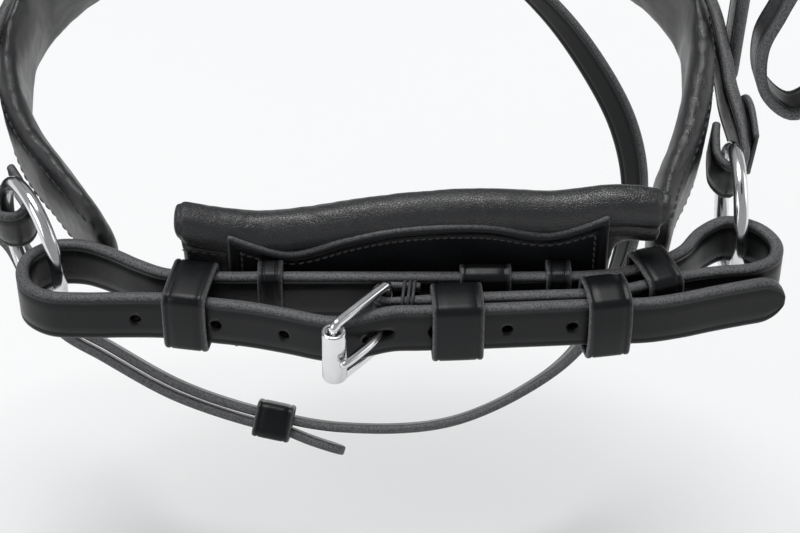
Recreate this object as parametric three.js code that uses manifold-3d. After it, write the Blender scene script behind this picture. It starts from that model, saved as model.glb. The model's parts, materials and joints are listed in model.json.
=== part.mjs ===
// A black leather headcollar with a crank noseband, hung from its crown.
// Millimetres, +Z up, +Y towards the front of the nose, +X to the right seen from the chin.
// The origin is the underside of the padded crown, where a hook or the horse's poll carries it.
import * as THREE from "three";
import { mergeVertices } from "three/addons/utils/BufferGeometryUtils.js";
import Module from "manifold-3d";

const wasm = await Module();
wasm.setup();

// ---- driving dimensions ----
const GAP = 0.4; // air between layers that touch on the real object
const STRAP = { width: 16, thick: 4, fold: 2.6 }; // chin strap, pared where it turns round its buckle
const PARED = 2.4; // leather pared down to turn round a small buckle's bar
const CHEEK = { width: 16, thick: 3.5 };
const THROAT = { width: 12, thick: 3 };
const FLASH = { width: 12, thick: 3 };
const CROWN = { width: 28, narrow: 16, thick: 4, leather: 3.4, pad: 9, padWidth: 40 };
const NASAL = { width: 18, thick: 4, fold: 2.6 };
const LINING = { height: 38, thick: 8 }; // padded leather inside the nasal strap
const KEEPER_WALL = 1.8;
const HOLE_RADIUS = 1.7; // punched adjustment holes
const RING = { wire: 4.5, radius: 20 }; // noseband rings, radius of the wire's centre line
const UPPER_RING = { wire: 4.5, radius: 24 };

const CENTRE_X = -12; // the noseband's middle, left of the chin strap's middle
const CHIN_BELOW_CROWN = 455;
const CROWN_AHEAD_OF_CHIN = 50; // the crown sits this far forward of the chin strap
const RING_LEVEL = 290; // upper rings above the chin strap
const NASAL_TILT = THREE.MathUtils.degToRad(19); // the nose end of the noseband is the higher
const NASAL_PIVOT_Y = 33;
const CHEEK_LEAN = THREE.MathUtils.degToRad(10.3); // cheek straps run down and forward
const BIT_LEAN = THREE.MathUtils.degToRad(-7.8); // bit straps run down and back
const THROAT_DROP = THREE.MathUtils.degToRad(50); // throat strap runs back and down
const SIDES = { left: { sign: -1, ringX: -132.8 }, right: { sign: 1, ringX: 105 } };

// ---- materials ----
const leather = (color, roughness) => new THREE.MeshStandardMaterial({ color, roughness, metalness: 0 });
const BRIDLE = leather(0x16171a, 0.42);
const SOFT = leather(0x1d1e20, 0.55);
const STEEL = new THREE.MeshStandardMaterial({ color: 0xc9ccd0, roughness: 0.18, metalness: 1 });

// ---- general helpers ----
const Z = new THREE.Vector3(0, 0, 1);
const flat = (points) => points.map(([x, y]) => new THREE.Vector3(x, y, 0));
const upright = (points) => points.map(([x, z]) => new THREE.Vector3(x, 0, z));
const X_ACROSS = new THREE.Vector3(1, 0, 0);
const Y_ACROSS = new THREE.Vector3(0, 1, 0);

function node(name, geometry, material) {
  const mesh = new THREE.Mesh(geometry, material);
  mesh.name = name;
  return mesh;
}

function group(...children) {
  const made = new THREE.Group();
  made.add(...children);
  return made;
}

function solidOf(geometry) {
  const bare = geometry.clone();
  bare.deleteAttribute("normal");
  bare.deleteAttribute("uv");
  const merged = mergeVertices(bare, 1e-4);
  const mesh = new wasm.Mesh({
    numProp: 3,
    vertProperties: new Float32Array(merged.attributes.position.array),
    triVerts: new Uint32Array(merged.index.array),
  });
  return new wasm.Manifold(mesh);
}

function geometryOf(solid) {
  const mesh = solid.getMesh();
  const made = new THREE.BufferGeometry();
  made.setAttribute("position", new THREE.BufferAttribute(mesh.vertProperties, 3));
  made.setIndex(new THREE.BufferAttribute(mesh.triVerts, 1));
  return made;
}

function cut(geometry, tools) {
  const solid = tools.reduce((body, tool) => body.subtract(solidOf(tool)), solidOf(geometry));
  return geometryOf(solid);
}

function join(pieces) {
  const [first, ...rest] = pieces.map(solidOf);
  return geometryOf(rest.reduce((body, piece) => body.add(piece), first));
}

// Points along a smooth line, close together only where it turns.
function stations(points, tipLength) {
  const curve = new THREE.CatmullRomCurve3(points, false, "centripetal");
  const length = curve.getLength();
  const fine = Math.ceil(length / 0.8);
  curve.arcLengthDivisions = fine * 2;
  curve.updateArcLengths();
  const TURN = THREE.MathUtils.degToRad(13);
  const LONGEST = 16;
  const kept = [];
  let lastAt = -Infinity;
  let lastTangent = null;
  for (let i = 0; i <= fine; i++) {
    const u = i / fine;
    const at = u * length;
    const tangent = curve.getTangentAt(u);
    const nearTip = length - at < tipLength && at - lastAt >= 1.9;
    const due = !lastTangent || at - lastAt > LONGEST || lastTangent.angleTo(tangent) > TURN;
    if (due || nearTip || i === fine) {
      if (i === fine && at - lastAt < 0.9) kept.pop();
      kept.push({ at, tangent, point: curve.getPointAt(u), left: length - at });
      lastAt = at;
      lastTangent = tangent;
    }
  }
  return kept;
}

// A flat strap along a line. across(u) is the direction of its width; thickness(at, left) and a
// rounded tip are optional.
function strap(points, size, options = {}) {
  const { across = () => Z, tip = false, thickness = () => size.thick, width = () => size.width } = options;
  const tipLength = tip ? size.width / 2 : 0;
  const marks = stations(points, tipLength);
  const total = marks.at(-1).at;
  const positions = [];
  for (const { point, tangent, at, left } of marks) {
    const wide = across(at / total).clone();
    wide.addScaledVector(tangent, -wide.dot(tangent)).normalize();
    const side = new THREE.Vector3().crossVectors(tangent, wide);
    const missing = Math.max(0, 1 - left / (tipLength || 1));
    const half = (width(at, left) / 2) * (tip ? Math.sqrt(Math.max(0.06, 1 - missing * missing)) : 1);
    const thick = thickness(at, left) / 2;
    for (const [s, w] of [[-1, -1], [1, -1], [1, 1], [-1, 1]]) {
      const corner = point.clone().addScaledVector(side, s * thick).addScaledVector(wide, w * half);
      positions.push(corner.x, corner.y, corner.z);
    }
  }
  const faces = [0, 1, 2, 0, 2, 3];
  for (let i = 0; i < marks.length - 1; i++)
    for (let j = 0; j < 4; j++) {
      const a = i * 4 + j;
      const b = i * 4 + ((j + 1) % 4);
      faces.push(a, a + 4, b + 4, a, b + 4, b);
    }
  const end = (marks.length - 1) * 4;
  faces.push(end, end + 2, end + 1, end, end + 3, end + 2);
  const made = new THREE.BufferGeometry();
  made.setAttribute("position", new THREE.BufferAttribute(new Float32Array(positions), 3));
  made.setIndex(faces);
  return made;
}

function rectangle(target, x0, y0, x1, y1, r) {
  target.moveTo(x0 + r, y0);
  target.lineTo(x1 - r, y0);
  target.absarc(x1 - r, y0 + r, r, -Math.PI / 2, 0);
  target.lineTo(x1, y1 - r);
  target.absarc(x1 - r, y1 - r, r, 0, Math.PI / 2);
  target.lineTo(x0 + r, y1);
  target.absarc(x0 + r, y1 - r, r, Math.PI / 2, Math.PI);
  target.lineTo(x0, y0 + r);
  target.absarc(x0 + r, y0 + r, r, Math.PI, Math.PI * 1.5);
  return target;
}

// Thickness or width that grows from one value to another between two distances along a strap.
function growing(from, to, start, end) {
  const share = (near) => THREE.MathUtils.clamp((near - start) / (end - start), 0, 1);
  return (near) => THREE.MathUtils.lerp(from, to, share(near));
}

// A leather loop round straps that run along x: inner box y0..y1 by +-halfZ, length along x.
function keeper(length, y0, y1, halfZ, wall = KEEPER_WALL) {
  const shape = rectangle(new THREE.Shape(), y0 - wall, -halfZ - wall, y1 + wall, halfZ + wall, wall + 0.6);
  shape.holes.push(rectangle(new THREE.Path(), y0, -halfZ, y1, halfZ, 0.6));
  const made = new THREE.ExtrudeGeometry(shape, { depth: length, bevelEnabled: false, curveSegments: 2 });
  made.translate(0, 0, -length / 2);
  made.rotateY(Math.PI / 2);
  made.rotateX(Math.PI / 2);
  return made;
}

// Turns an object so that its own x, y and z axes point the given ways.
function face(object, x, y, z) {
  const [ownX, ownY, ownZ] = [x, y, z].map((way) => new THREE.Vector3(...way));
  object.setRotationFromMatrix(new THREE.Matrix4().makeBasis(ownX, ownY, ownZ));
  return object;
}

function place(mesh, x, y, z = 0, angle = 0) {
  mesh.position.set(x, y, z);
  mesh.rotation.z = THREE.MathUtils.degToRad(angle);
  return mesh;
}

function ring({ wire, radius }) {
  return new THREE.TorusGeometry(radius, wire / 2, 7, 28);
}

// ---- buckles ----
// Local axes: the tongue bar runs along z through the origin, the frame reaches along +x to its
// front bar, and +y is outward.
function buckleFrame({ reach, inner, wire }) {
  const half = inner / 2 + wire;
  const shape = rectangle(new THREE.Shape(), -wire / 2, -half, reach + wire / 2, half, wire * 0.9);
  const x1 = reach - wire / 2;
  shape.holes.push(rectangle(new THREE.Path(), wire / 2, -inner / 2, x1, inner / 2, wire * 0.4));
  const made = new THREE.ExtrudeGeometry(shape, { depth: wire, bevelEnabled: false, curveSegments: 3 });
  made.translate(0, 0, -wire / 2);
  made.rotateX(Math.PI / 2);
  return made;
}

// An eye round the tongue bar and a pin that lies on the front bar.
function buckleTongue({ reach, wire, rest, thick }) {
  const eyeIn = wire * 0.76;
  const eyeOut = eyeIn + thick * 0.6;
  const tipX = reach + wire * 0.9;
  const top = rest + thick;
  const shape = new THREE.Shape();
  shape.absarc(0, 0, eyeOut, THREE.MathUtils.degToRad(62), THREE.MathUtils.degToRad(372), false);
  shape.lineTo(reach - wire * 0.9, rest + 0.1);
  shape.lineTo(tipX, rest - 0.1);
  shape.quadraticCurveTo(tipX + 1.2, rest + thick * 0.2, tipX, top - 0.4);
  shape.lineTo(reach * 0.5, top);
  const hole = new THREE.Path();
  hole.absarc(0, 0, eyeIn, 0, Math.PI * 2, true);
  shape.holes.push(hole);
  const made = new THREE.ExtrudeGeometry(shape, { depth: thick, bevelEnabled: false, curveSegments: 6 });
  made.translate(0, 0, -thick / 2);
  return made;
}

function rollerTube(outer, inner, length) {
  const shape = new THREE.Shape().absarc(0, 0, outer, 0, Math.PI * 2);
  shape.holes.push(new THREE.Path().absarc(0, 0, inner, 0, Math.PI * 2, true));
  const made = new THREE.ExtrudeGeometry(shape, { depth: length, bevelEnabled: false, curveSegments: 10 });
  made.translate(0, 0, -length / 2);
  return made;
}

// A punched hole, or a slot when long is given, through a strap whose width is along z.
function punch(x, y, angle, radius = HOLE_RADIUS, long = 0) {
  const tool = new THREE.CylinderGeometry(radius, radius, 12, 12);
  if (long) tool.scale(1 + long / (2 * radius), 1, 1);
  tool.rotateZ(THREE.MathUtils.degToRad(angle));
  tool.translate(x, y, 0);
  return tool;
}

// ---- chin strap: one long strap, folded round the buckle bar, both rings, and back to its tip ----
const BAR = [-3.5, -5]; // the chin buckle's tongue bar
const CHIN_LINE = flat([
  [6, -1.9],
  [0, -1.6],
  [-3.5, -1.6],
  [-6.1, -2.5],
  [-7, -5],
  [-6.1, -7.5],
  [-3.5, -8.4],
  [0, -8.3],
  [8, -7.7],
  [20, -6.9],
  [40, -5.8],
  [54, -5],
  [66, -2.9],
  [75, 0.2],
  [84, 3.2],
  [94, 5.2],
  [104, 6.6],
  [110.6, 11],
  [112, 18],
  [107.5, 25.6],
  [98.5, 28.6],
  [90.5, 23.5],
  [84, 14.6],
  [75, 8.4],
  [66, 4.8],
  [56, 3.1],
  [40, 2.6],
  [0, 2.6],
  [-40, 2.6],
  [-56, 2.7],
  [-69, 4.2],
  [-77, 8],
  [-86, 13.6],
  [-95, 17.4],
  [-103.5, 17],
  [-109.6, 12],
  [-111, 6],
  [-109, -1],
  [-102.5, -5.8],
  [-92, -6.8],
  [-80, -6.6],
  [-68, -6.9],
  [-54, -9.1],
  [-44, -10.8],
  [-33, -13.6],
  [-21, -17],
  [-15, -17],
  [-8, -14.4],
  [-2, -12.7],
  [6, -12.4],
  [20, -11.8],
  [40, -10.6],
  [58, -9.5],
  [72, -8.9],
  [82, -6.8],
  [92, -3.8],
  [103, -0.8],
  [113, 1.6],
]);

function chinStrap() {
  const thickness = growing(STRAP.fold, STRAP.thick, 22, 36);
  const body = strap(CHIN_LINE, STRAP, { tip: true, thickness });
  const places = [
    [-77, -6.6, 0],
    [-53.2, -9.2, -9],
    [-33, -13.6, -15],
    [9.8, -12.3, 2],
    [31, -11.2, 3],
    [50, -10, 3],
  ];
  const tools = places.map(([x, y, angle]) => punch(x, y, angle));
  const tongueHole = punch(-6.9, -14.2, 16, 1.9, 9);
  const chapeSlot = new THREE.BoxGeometry(9, 10.6, 3.6).translate(BAR[0] - 0.1, BAR[1], 0);
  return cut(body, [...tools, tongueHole, chapeSlot]);
}

const CHIN_BUCKLE = { reach: 24, inner: 18.4, wire: 2.8, angle: 180 + 50.5 };
const ROLLER = { outer: 3.6, inner: 2.3, length: 17.6 };

function chinBuckle() {
  const frame = node("chin_buckle_frame", buckleFrame(CHIN_BUCKLE), STEEL);
  const roller = node("chin_buckle_roller", rollerTube(ROLLER.outer, ROLLER.inner, ROLLER.length), STEEL);
  roller.position.x = CHIN_BUCKLE.reach;
  const pin = { ...CHIN_BUCKLE, rest: ROLLER.outer + 0.35, thick: 2.7 };
  const tongue = node("chin_buckle_tongue", buckleTongue(pin), STEEL);
  return place(group(frame, roller, tongue), BAR[0], BAR[1], 0, CHIN_BUCKLE.angle);
}

// The same shape turned over in y, with its faces still pointing out.
function mirrored(geometry) {
  return geometry.clone().rotateX(Math.PI);
}

// ---- keepers on the chin strap ----
function chinKeepers() {
  const halfZ = STRAP.width / 2 + 0.6;
  return [
    place(node("keeper_left_loop", keeper(13, -8.4, 8.1, halfZ), BRIDLE), -61, -2.1, 0, -9.5),
    place(node("keeper_main", keeper(15, -2.4, 2.4, halfZ, 1.4), BRIDLE), 25, 2.6, 0, 0),
    place(node("keeper_buckle", keeper(15, -5.6, 5.3, halfZ), BRIDLE), 16.5, -9.5, 0, 3),
    place(node("keeper_sliding", keeper(13, -6.4, 5.3, halfZ + 0.8, 1.6), BRIDLE), 59.5, -6.4, 0, 9),
    place(node("keeper_right_loop", keeper(11, -7, 7.7, halfZ), BRIDLE), 75, 4.5, 0, 19),
  ];
}

// ---- chin pad and the leather overlay stitched to its face ----
const PAD = { x0: -67, x1: 79, front: 9.2, back: 15, rollRadius: 6, rollY: 15.2, low: -20 };
const ROLL_LINE = [
  [-67, 19.1],
  [-41, 15.3],
  [0, 21.9],
  [26, 24],
  [43, 22.9],
  [67, 25.7],
  [79, 22.7],
];

function chinPad() {
  const roll = new THREE.CatmullRomCurve3(ROLL_LINE.map(([x, z]) => new THREE.Vector3(x, PAD.rollY, z)));
  const round = new THREE.Shape().absarc(0, 0, PAD.rollRadius, 0, Math.PI * 2);
  const tube = new THREE.ExtrudeGeometry(round, { steps: 18, extrudePath: roll, curveSegments: 5 });
  const outline = new THREE.Shape();
  outline.moveTo(PAD.x0 + 1, ROLL_LINE[0][1]);
  outline.splineThru(ROLL_LINE.slice(1, -1).map(([x, z]) => new THREE.Vector2(x, z)));
  outline.lineTo(PAD.x1 - 1, ROLL_LINE.at(-1)[1]);
  outline.lineTo(PAD.x1 - 2, 13);
  outline.lineTo(64, 12);
  outline.lineTo(62, PAD.low + 3);
  outline.quadraticCurveTo(56, PAD.low - 4, 40, PAD.low - 3);
  outline.quadraticCurveTo(0, PAD.low + 5, -40, PAD.low - 2);
  outline.quadraticCurveTo(-60, PAD.low - 7, PAD.x0 + 3, PAD.low + 3);
  const depth = PAD.back - PAD.front;
  const plate = new THREE.ExtrudeGeometry(outline, { depth, bevelEnabled: false, curveSegments: 5 });
  plate.rotateX(Math.PI / 2);
  plate.translate(0, PAD.back, 0);
  return join([tube, plate]);
}

const OVERLAY = { front: 6.9, back: 8.7 };
const OVERLAY_TOP = [
  [-50.5, 17.9],
  [-42, 14],
  [-32, 11.4],
  [-16, 16.6],
  [0, 20.4],
  [25, 21.6],
  [43, 18.6],
  [52, 21.2],
  [61, 25.4],
];
const TABS = [-38, 46.4]; // middles of the two loops that hold the overlay to the chin strap
const TAB_WIDTH = 7.4;

function chinOverlay() {
  const top = OVERLAY_TOP.map(([x, z]) => new THREE.Vector2(x, z));
  const bottom = OVERLAY_TOP.map(([x, z]) => new THREE.Vector2(x, -z - (x < -40 ? 8 : 2))).reverse();
  const outline = new THREE.Shape();
  outline.moveTo(top[0].x, top[0].y);
  outline.splineThru(top.slice(1));
  outline.lineTo(bottom[0].x, bottom[0].y);
  outline.splineThru(bottom.slice(1));
  const depth = OVERLAY.back - OVERLAY.front;
  const plate = new THREE.ExtrudeGeometry(outline, { depth, bevelEnabled: false, curveSegments: 3 });
  plate.rotateX(Math.PI / 2);
  plate.translate(0, OVERLAY.back, 0);
  const wall = 1.3;
  const loops = TABS.map((x) => {
    const loop = keeper(TAB_WIDTH, -2.5, OVERLAY.front - 2.6 + 0.2, STRAP.width / 2 + 0.6, wall);
    return loop.translate(x, 2.6, 0);
  });
  return join([plate, ...loops]);
}

// ---- rings of the noseband ----
const RING_LEFT = { x: -111, y: 25, along: 120.5 };
const RING_RIGHT = { x: 102, y: 41, along: 90 };

function nosebandRing(name, { x, y, along }) {
  const mesh = node(name, ring(RING), STEEL);
  mesh.rotation.set(Math.PI / 2, 0, THREE.MathUtils.degToRad(along), "ZYX");
  mesh.position.set(x, y, 0);
  return mesh;
}

// ---- nasal part: padded lining inside, strap outside, folded round both rings ----
const LINING_LINE = flat([
  [-84, 21.4],
  [-94, 34],
  [-105, 47.8],
  [-115.5, 61.6],
  [-121.5, 76.4],
  [-122.8, 93.3],
  [-117, 116.6],
  [-95, 139.8],
  [-60, 155.7],
  [-12, 161],
  [36, 155.7],
  [72, 139.8],
  [92, 116.6],
  [96, 95.4],
  [93, 76.4],
  [88.5, 59.4],
  [80, 38.3],
  [75, 19],
]);

const NASAL_LINE = flat([
  [-119.6, 51],
  [-115.8, 44.8],
  [-113.2, 38],
  [-115.2, 33.6],
  [-120.4, 33.2],
  [-125.2, 38.4],
  [-129, 46],
  [-130.8, 56],
  [-131, 72],
  [-129.8, 93],
  [-123.2, 119.4],
  [-99, 145],
  [-62, 161.9],
  [-12, 167.6],
  [38, 161.9],
  [76, 145],
  [98.2, 119.4],
  [102.8, 96.4],
  [103.8, 82],
  [105.8, 70],
  [106.4, 61],
  [106, 54.4],
  [102, 50.6],
  [98, 54.4],
  [97.6, 61],
  [98.2, 67],
]);

function liningSolid() {
  const size = { width: LINING.height, thick: LINING.thick };
  const body = strap(LINING_LINE, size);
  const corner = LINING.height / 2;
  // The two free ends are rounded to half circles: take the square corners away.
  const trims = [];
  for (const [tip, next] of [[LINING_LINE[0], LINING_LINE[1]], [LINING_LINE.at(-1), LINING_LINE.at(-2)]]) {
    const inward = next.clone().sub(tip).normalize();
    const block = new THREE.Shape();
    block.moveTo(-4, -corner - 2);
    block.lineTo(corner, -corner - 2);
    block.lineTo(corner, -corner);
    block.absarc(corner, 0, corner, -Math.PI / 2, Math.PI / 2, true);
    block.lineTo(corner, corner + 2);
    block.lineTo(-4, corner + 2);
    const tool = new THREE.ExtrudeGeometry(block, { depth: 40, bevelEnabled: false, curveSegments: 6 });
    tool.translate(0, 0, -20);
    tool.rotateX(Math.PI / 2);
    tool.rotateZ(Math.atan2(inward.y, inward.x));
    tool.translate(tip.x, tip.y, 0);
    trims.push(tool);
  }
  return cut(body, trims);
}

function nasalStrap() {
  const grow = growing(NASAL.fold, NASAL.thick, 30, 42);
  return strap(NASAL_LINE, NASAL, { thickness: (at, left) => grow(Math.min(at, left)) });
}

// Short reinforcements with a rounded end, on the nasal strap just ahead of each ring.
function nasalOverlay(points) {
  return strap(flat(points), { width: 22, thick: 1.8 }, { tip: true });
}

// Hanging loop on the nose front that carries the flash strap: x is distance from the nasal
// strap's face and y is up along it.
const FLASH_LOOP = [
  [1.5, 7],
  [1.5, -10],
  [-1.4, -20],
  [-5.8, -27],
  [-6.2, -34],
  [-1.5, -40.8],
  [5, -41.2],
  [9.2, -36],
  [8.8, -28],
  [6.2, -20],
  [4.3, -10],
  [4.3, 7],
];

function flashLoop() {
  const face = NASAL_LINE[13].y + NASAL.thick / 2;
  const line = FLASH_LOOP.map(([x, y]) => new THREE.Vector3(CENTRE_X, face + x, y));
  return strap(line, { width: 18, thick: 2.2 }, { across: () => X_ACROSS });
}

// ---- flash strap: one strap with a buckle, hanging from the loop on the nose ----
// Drawn flat: x across, y up along the strap's own plane, 0 at the loop.
const FLASH_PLANE = { y: 173.6, z: 15.6, tilt: THREE.MathUtils.degToRad(50) };
const FLASH_BAR = { x: -146, y: -84, angle: THREE.MathUtils.degToRad(-62) };

// A point near the flash buckle: along is the way the free end travels, out is away from the loop.
function nearFlashBar(along, out) {
  const c = Math.cos(FLASH_BAR.angle);
  const s = Math.sin(FLASH_BAR.angle);
  return [FLASH_BAR.x + along * c + out * s, FLASH_BAR.y + along * s - out * c];
}

const SMALL_FOLD = 3.1; // centre line of pared leather turned round a small buckle's bar
const CHAPE = [
  [11, -2.2],
  [3, -SMALL_FOLD],
  [-1.6, -2.7],
  [-SMALL_FOLD, 0],
  [-1.6, 2.7],
  [3, SMALL_FOLD],
  [16, 1.6],
];
const OVER_BUCKLE = [
  [-30, 4.2],
  [-16, 4.1],
  [0, 6.4],
  [16, 5.3],
];

const FLASH_LINE = [
  ...CHAPE.map(([x, y]) => nearFlashBar(x, y)),
  [-132.5, -105.1],
  [-124.6, -120],
  [-115.6, -133],
  [-101, -141.7],
  [-77, -155],
  [-51.5, -163.8],
  [-21, -169.8],
  [17.5, -167.9],
  [49, -153.3],
  [63.9, -139.8],
  [75.2, -118.1],
  [80.9, -97.5],
  [81.9, -82.1],
  [77.8, -63.5],
  [67, -42.9],
  [52, -23.3],
  [35, -9.1],
  [14, -2.1],
  [-12, 0],
  [-60, -1.1],
  [-108, -6.6],
  [-142, -17.6],
  [-159, -39.6],
  ...OVER_BUCKLE.map(([x, y]) => nearFlashBar(x, y)),
  [-136.1, -107.1],
  [-128, -122.2],
  [-118.4, -136],
  [-102.9, -145.4],
  [-78.6, -158.7],
  [-52.5, -167.7],
  [-43, -169.7],
  [-31, -174.4],
  [-19.3, -178.2],
];

// Slots beside a small buckle's bar, drawn in the strap's own axes: one in the folded end for the
// tongue's eye, and one in the free end for its pin.
const EYE_SLOT = { x: 0.2, long: 7.4, high: 10, wide: 3 };
const PIN_SLOT = { x: -5.8, y: 5.7, angle: 6, radius: 1.5, long: 9 };

function eyeSlot() {
  return new THREE.BoxGeometry(EYE_SLOT.long, EYE_SLOT.high, EYE_SLOT.wide).translate(EYE_SLOT.x, 0, 0);
}

function pinSlot() {
  return punch(PIN_SLOT.x, PIN_SLOT.y, PIN_SLOT.angle, PIN_SLOT.radius, PIN_SLOT.long);
}

function flashStrap() {
  const lean = new THREE.Vector3(1, 0.4, 0).normalize();
  const MOST = THREE.MathUtils.degToRad(45);
  const across = (u) => {
    const near = 1 - Math.min(1, Math.abs(u - 0.42) / 0.16);
    const angle = MOST * near * near * (3 - 2 * near);
    return Z.clone().multiplyScalar(Math.cos(angle)).addScaledVector(lean, Math.sin(angle));
  };
  const thickness = growing(PARED, FLASH.thick, 25, 35);
  const slots = [eyeSlot(), pinSlot()].map((tool) =>
    tool.rotateX(Math.PI).rotateZ(FLASH_BAR.angle).translate(FLASH_BAR.x, FLASH_BAR.y, 0),
  );
  return cut(strap(flat(FLASH_LINE), FLASH, { across, tip: true, thickness }), slots);
}

// ---- straps that hang from the upper rings ----
// A strap folded round a bar at (0, 0): tail on the inner side, fold beyond the bar, main leg outer.
function ringFold(sign, { reach, half, meet, tail }) {
  return [
    [-sign * meet, -tail],
    [-sign * meet, -16],
    [-sign * half, -2],
    [-sign * half * 0.8, reach * 0.75],
    [0, reach],
    [sign * half * 0.8, reach * 0.75],
    [sign * half, -2],
    [sign * meet, -16],
    [sign * meet, -tail],
  ];
}

const CHEEK_FOLD = { reach: 6.6, half: 4.5, meet: 1.95, tail: 36 };
const THROAT_FOLD = { reach: 5.6, half: 4.3, meet: 1.8, tail: 20 };

function cheekStrap(sign) {
  const bar = -UPPER_RING.radius;
  const fold = ringFold(sign, CHEEK_FOLD).map(([x, z]) => [x, z + bar]);
  const x = sign * CHEEK_FOLD.meet;
  const line = upright([...fold, [x, -120], [x, -200], [x, -284]]);
  return strap(line, CHEEK, { across: () => Y_ACROSS, tip: true });
}

// A group with its origin at an upper ring's centre.
function atUpperRing(side, lean, ...children) {
  const made = group(...children);
  made.position.set(SIDES[side].ringX, CROWN_AHEAD_OF_CHIN, RING_LEVEL);
  made.rotation.x = lean;
  return made;
}

function upperRing(side) {
  const mesh = node("upper_ring_" + side, ring(UPPER_RING), STEEL);
  mesh.rotation.y = Math.PI / 2;
  return atUpperRing(side, 0, mesh);
}

// Small frame buckle. Local axes as the strap's: +x the way the free end travels, +y outward.
const SMALL_BUCKLE = { reach: 17, wire: 2.6, lean: THREE.MathUtils.degToRad(28) };

function smallBuckle(prefix, strapWidth) {
  const shape = { ...SMALL_BUCKLE, inner: strapWidth + 1.6 };
  const frame = node(prefix + "_buckle_frame", buckleFrame(shape), STEEL);
  const pin = { reach: shape.reach, wire: shape.wire, rest: shape.wire / 2 + 0.35, thick: 2.2 };
  const tongue = node(prefix + "_buckle_tongue", mirrored(buckleTongue(pin)), STEEL);
  const made = group(frame, tongue);
  made.rotation.z = Math.PI - shape.lean;
  return group(made);
}

// ---- bit straps: a chape on the cheek strap, a dee, and a strap with an open loop ----
const BIT = { width: 14, thick: 3.2, barX: 9.8, barZ: -62, dee: 2.8, deeDrop: 20 };
const BIT_CHAPE = [
  [-0.3, 27],
  [-0.3, 14],
  [2.6, 5],
  [3.3, 0],
  [2.3, -2.5],
  [0, -3.5],
  [-2.3, -2.5],
  [-3.3, 0],
  [-3.3, 6],
  [-3.3, 14],
  [-3.3, 28],
];
const BIT_LINE = [
  [-2, -40],
  [-2, -14],
  [-3.8, -2],
  [-2.8, 3],
  [0, 4.2],
  [2.8, 3],
  [3.8, -2],
  [1.7, -14],
  [1.7, -40],
  [-1, -80],
  [-1.6, -110],
  [2.4, -122],
  [6.2, -133],
  [4.6, -146],
  [-4, -153],
  [-12.6, -146],
  [-14.2, -133],
  [-10, -122],
  [-5.6, -110],
  [-5.2, -86],
];

function bitHanger(side) {
  const { sign } = SIDES[side];
  const turn = (points) => upright(points.map(([x, z]) => [sign * x, z]));
  const across = () => Y_ACROSS;
  const folded = strap(turn(BIT_CHAPE), { width: BIT.width, thick: PARED }, { across });
  const chape = node("bit_chape_" + side, folded, BRIDLE);
  const dee = node("bit_dee_" + side, buckleFrame({ reach: BIT.deeDrop, inner: 15.6, wire: BIT.dee }), STEEL);
  face(dee, [0, 0, -1], [-1, 0, 0], [0, 1, 0]);
  const line = node("bit_strap_" + side, strap(turn(BIT_LINE), BIT, { across }), BRIDLE);
  const band = node("bit_keeper_" + side, keeper(11, -4.2, 4.2, BIT.width / 2 + 0.6, 1.6), BRIDLE);
  face(band, [0, 0, 1], [sign, 0, 0], [0, sign, 0]);
  band.position.set(-sign * 3.3, 0, -102);
  const strapGroup = group(line, band);
  strapGroup.position.z = -BIT.deeDrop;
  const made = group(chape, dee, strapGroup);
  made.position.set(sign * BIT.barX, 0, BIT.barZ);
  return atUpperRing(side, BIT_LEAN, made);
}

// ---- throat strap ----
const THROAT_BAR_Y = -68; // buckle bar behind the left upper ring

function throatParts() {
  const { ringX: leftX } = SIDES.left;
  const { ringX: rightX } = SIDES.right;
  const bar = -UPPER_RING.radius;
  const barX = leftX + 0.2;
  const nearBar = ([along, out]) => [barX - out, THROAT_BAR_Y + along];
  const leftFold = ringFold(-1, THROAT_FOLD).map(([x, y]) => [leftX + x, y + bar]);
  leftFold.pop();
  const short = [...leftFold, ...CHAPE.slice().reverse().map(nearBar)];
  const grow = growing(PARED, THROAT.thick, 25, 35);
  const thickness = (at, left) => grow(left);
  const rightFold = ringFold(1, THROAT_FOLD).map(([x, y]) => [rightX + x, y + bar]);
  const long = [
    ...rightFold,
    [106, -72],
    [103, -104],
    [88, -138],
    [48, -162],
    [CENTRE_X, -169],
    [-74, -162],
    [-113, -138],
    [-131, -110],
    ...OVER_BUCKLE.slice(1).map(nearBar),
    nearBar([25, 5.3]),
  ];
  const atBar = (tool) => tool.rotateZ(Math.PI / 2).translate(barX, THROAT_BAR_Y, 0);
  const longStrap = cut(strap(flat(long), THROAT, { tip: true }), [atBar(pinSlot())]);
  const shortStrap = cut(strap(flat(short), THROAT, { thickness }), [atBar(eyeSlot())]);
  const buckle = smallBuckle("throat", THROAT.width);
  buckle.position.set(barX, THROAT_BAR_Y, 0);
  buckle.rotation.z = Math.PI / 2;
  const band = node("throat_keeper", keeper(9, -3.9, 3.9, THROAT.width / 2 + 0.6, 1.5), BRIDLE);
  place(band, ...nearBar([16, 3.4]), 0, 90);
  const parts = group(
    node("throat_short_strap", shortStrap, BRIDLE),
    node("throat_long_strap", longStrap, BRIDLE),
    buckle,
    band,
  );
  parts.position.set(0, CROWN_AHEAD_OF_CHIN, RING_LEVEL);
  parts.rotation.x = THROAT_DROP;
  return parts;
}

// ---- crown: padded strap over the poll, buckled on each side to a billet from the ring ----
const CROWN_BAR = { x: 1.5, z: 62 }; // crown buckle bar, inward of and above the upper ring's centre
const CROWN_TOP = CHIN_BELOW_CROWN + CROWN.pad + GAP + CROWN.thick / 2;
const CROWN_ARC = [
  [1, 396],
  [0.97, 408],
  [0.86, 431],
  [0.62, 452],
  [0.32, 463.5],
];

function nearCrownBar(side, [along, out]) {
  const { sign, ringX } = SIDES[side];
  return [ringX + sign * (out - CROWN_BAR.x), RING_LEVEL + CROWN_BAR.z + along];
}

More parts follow.
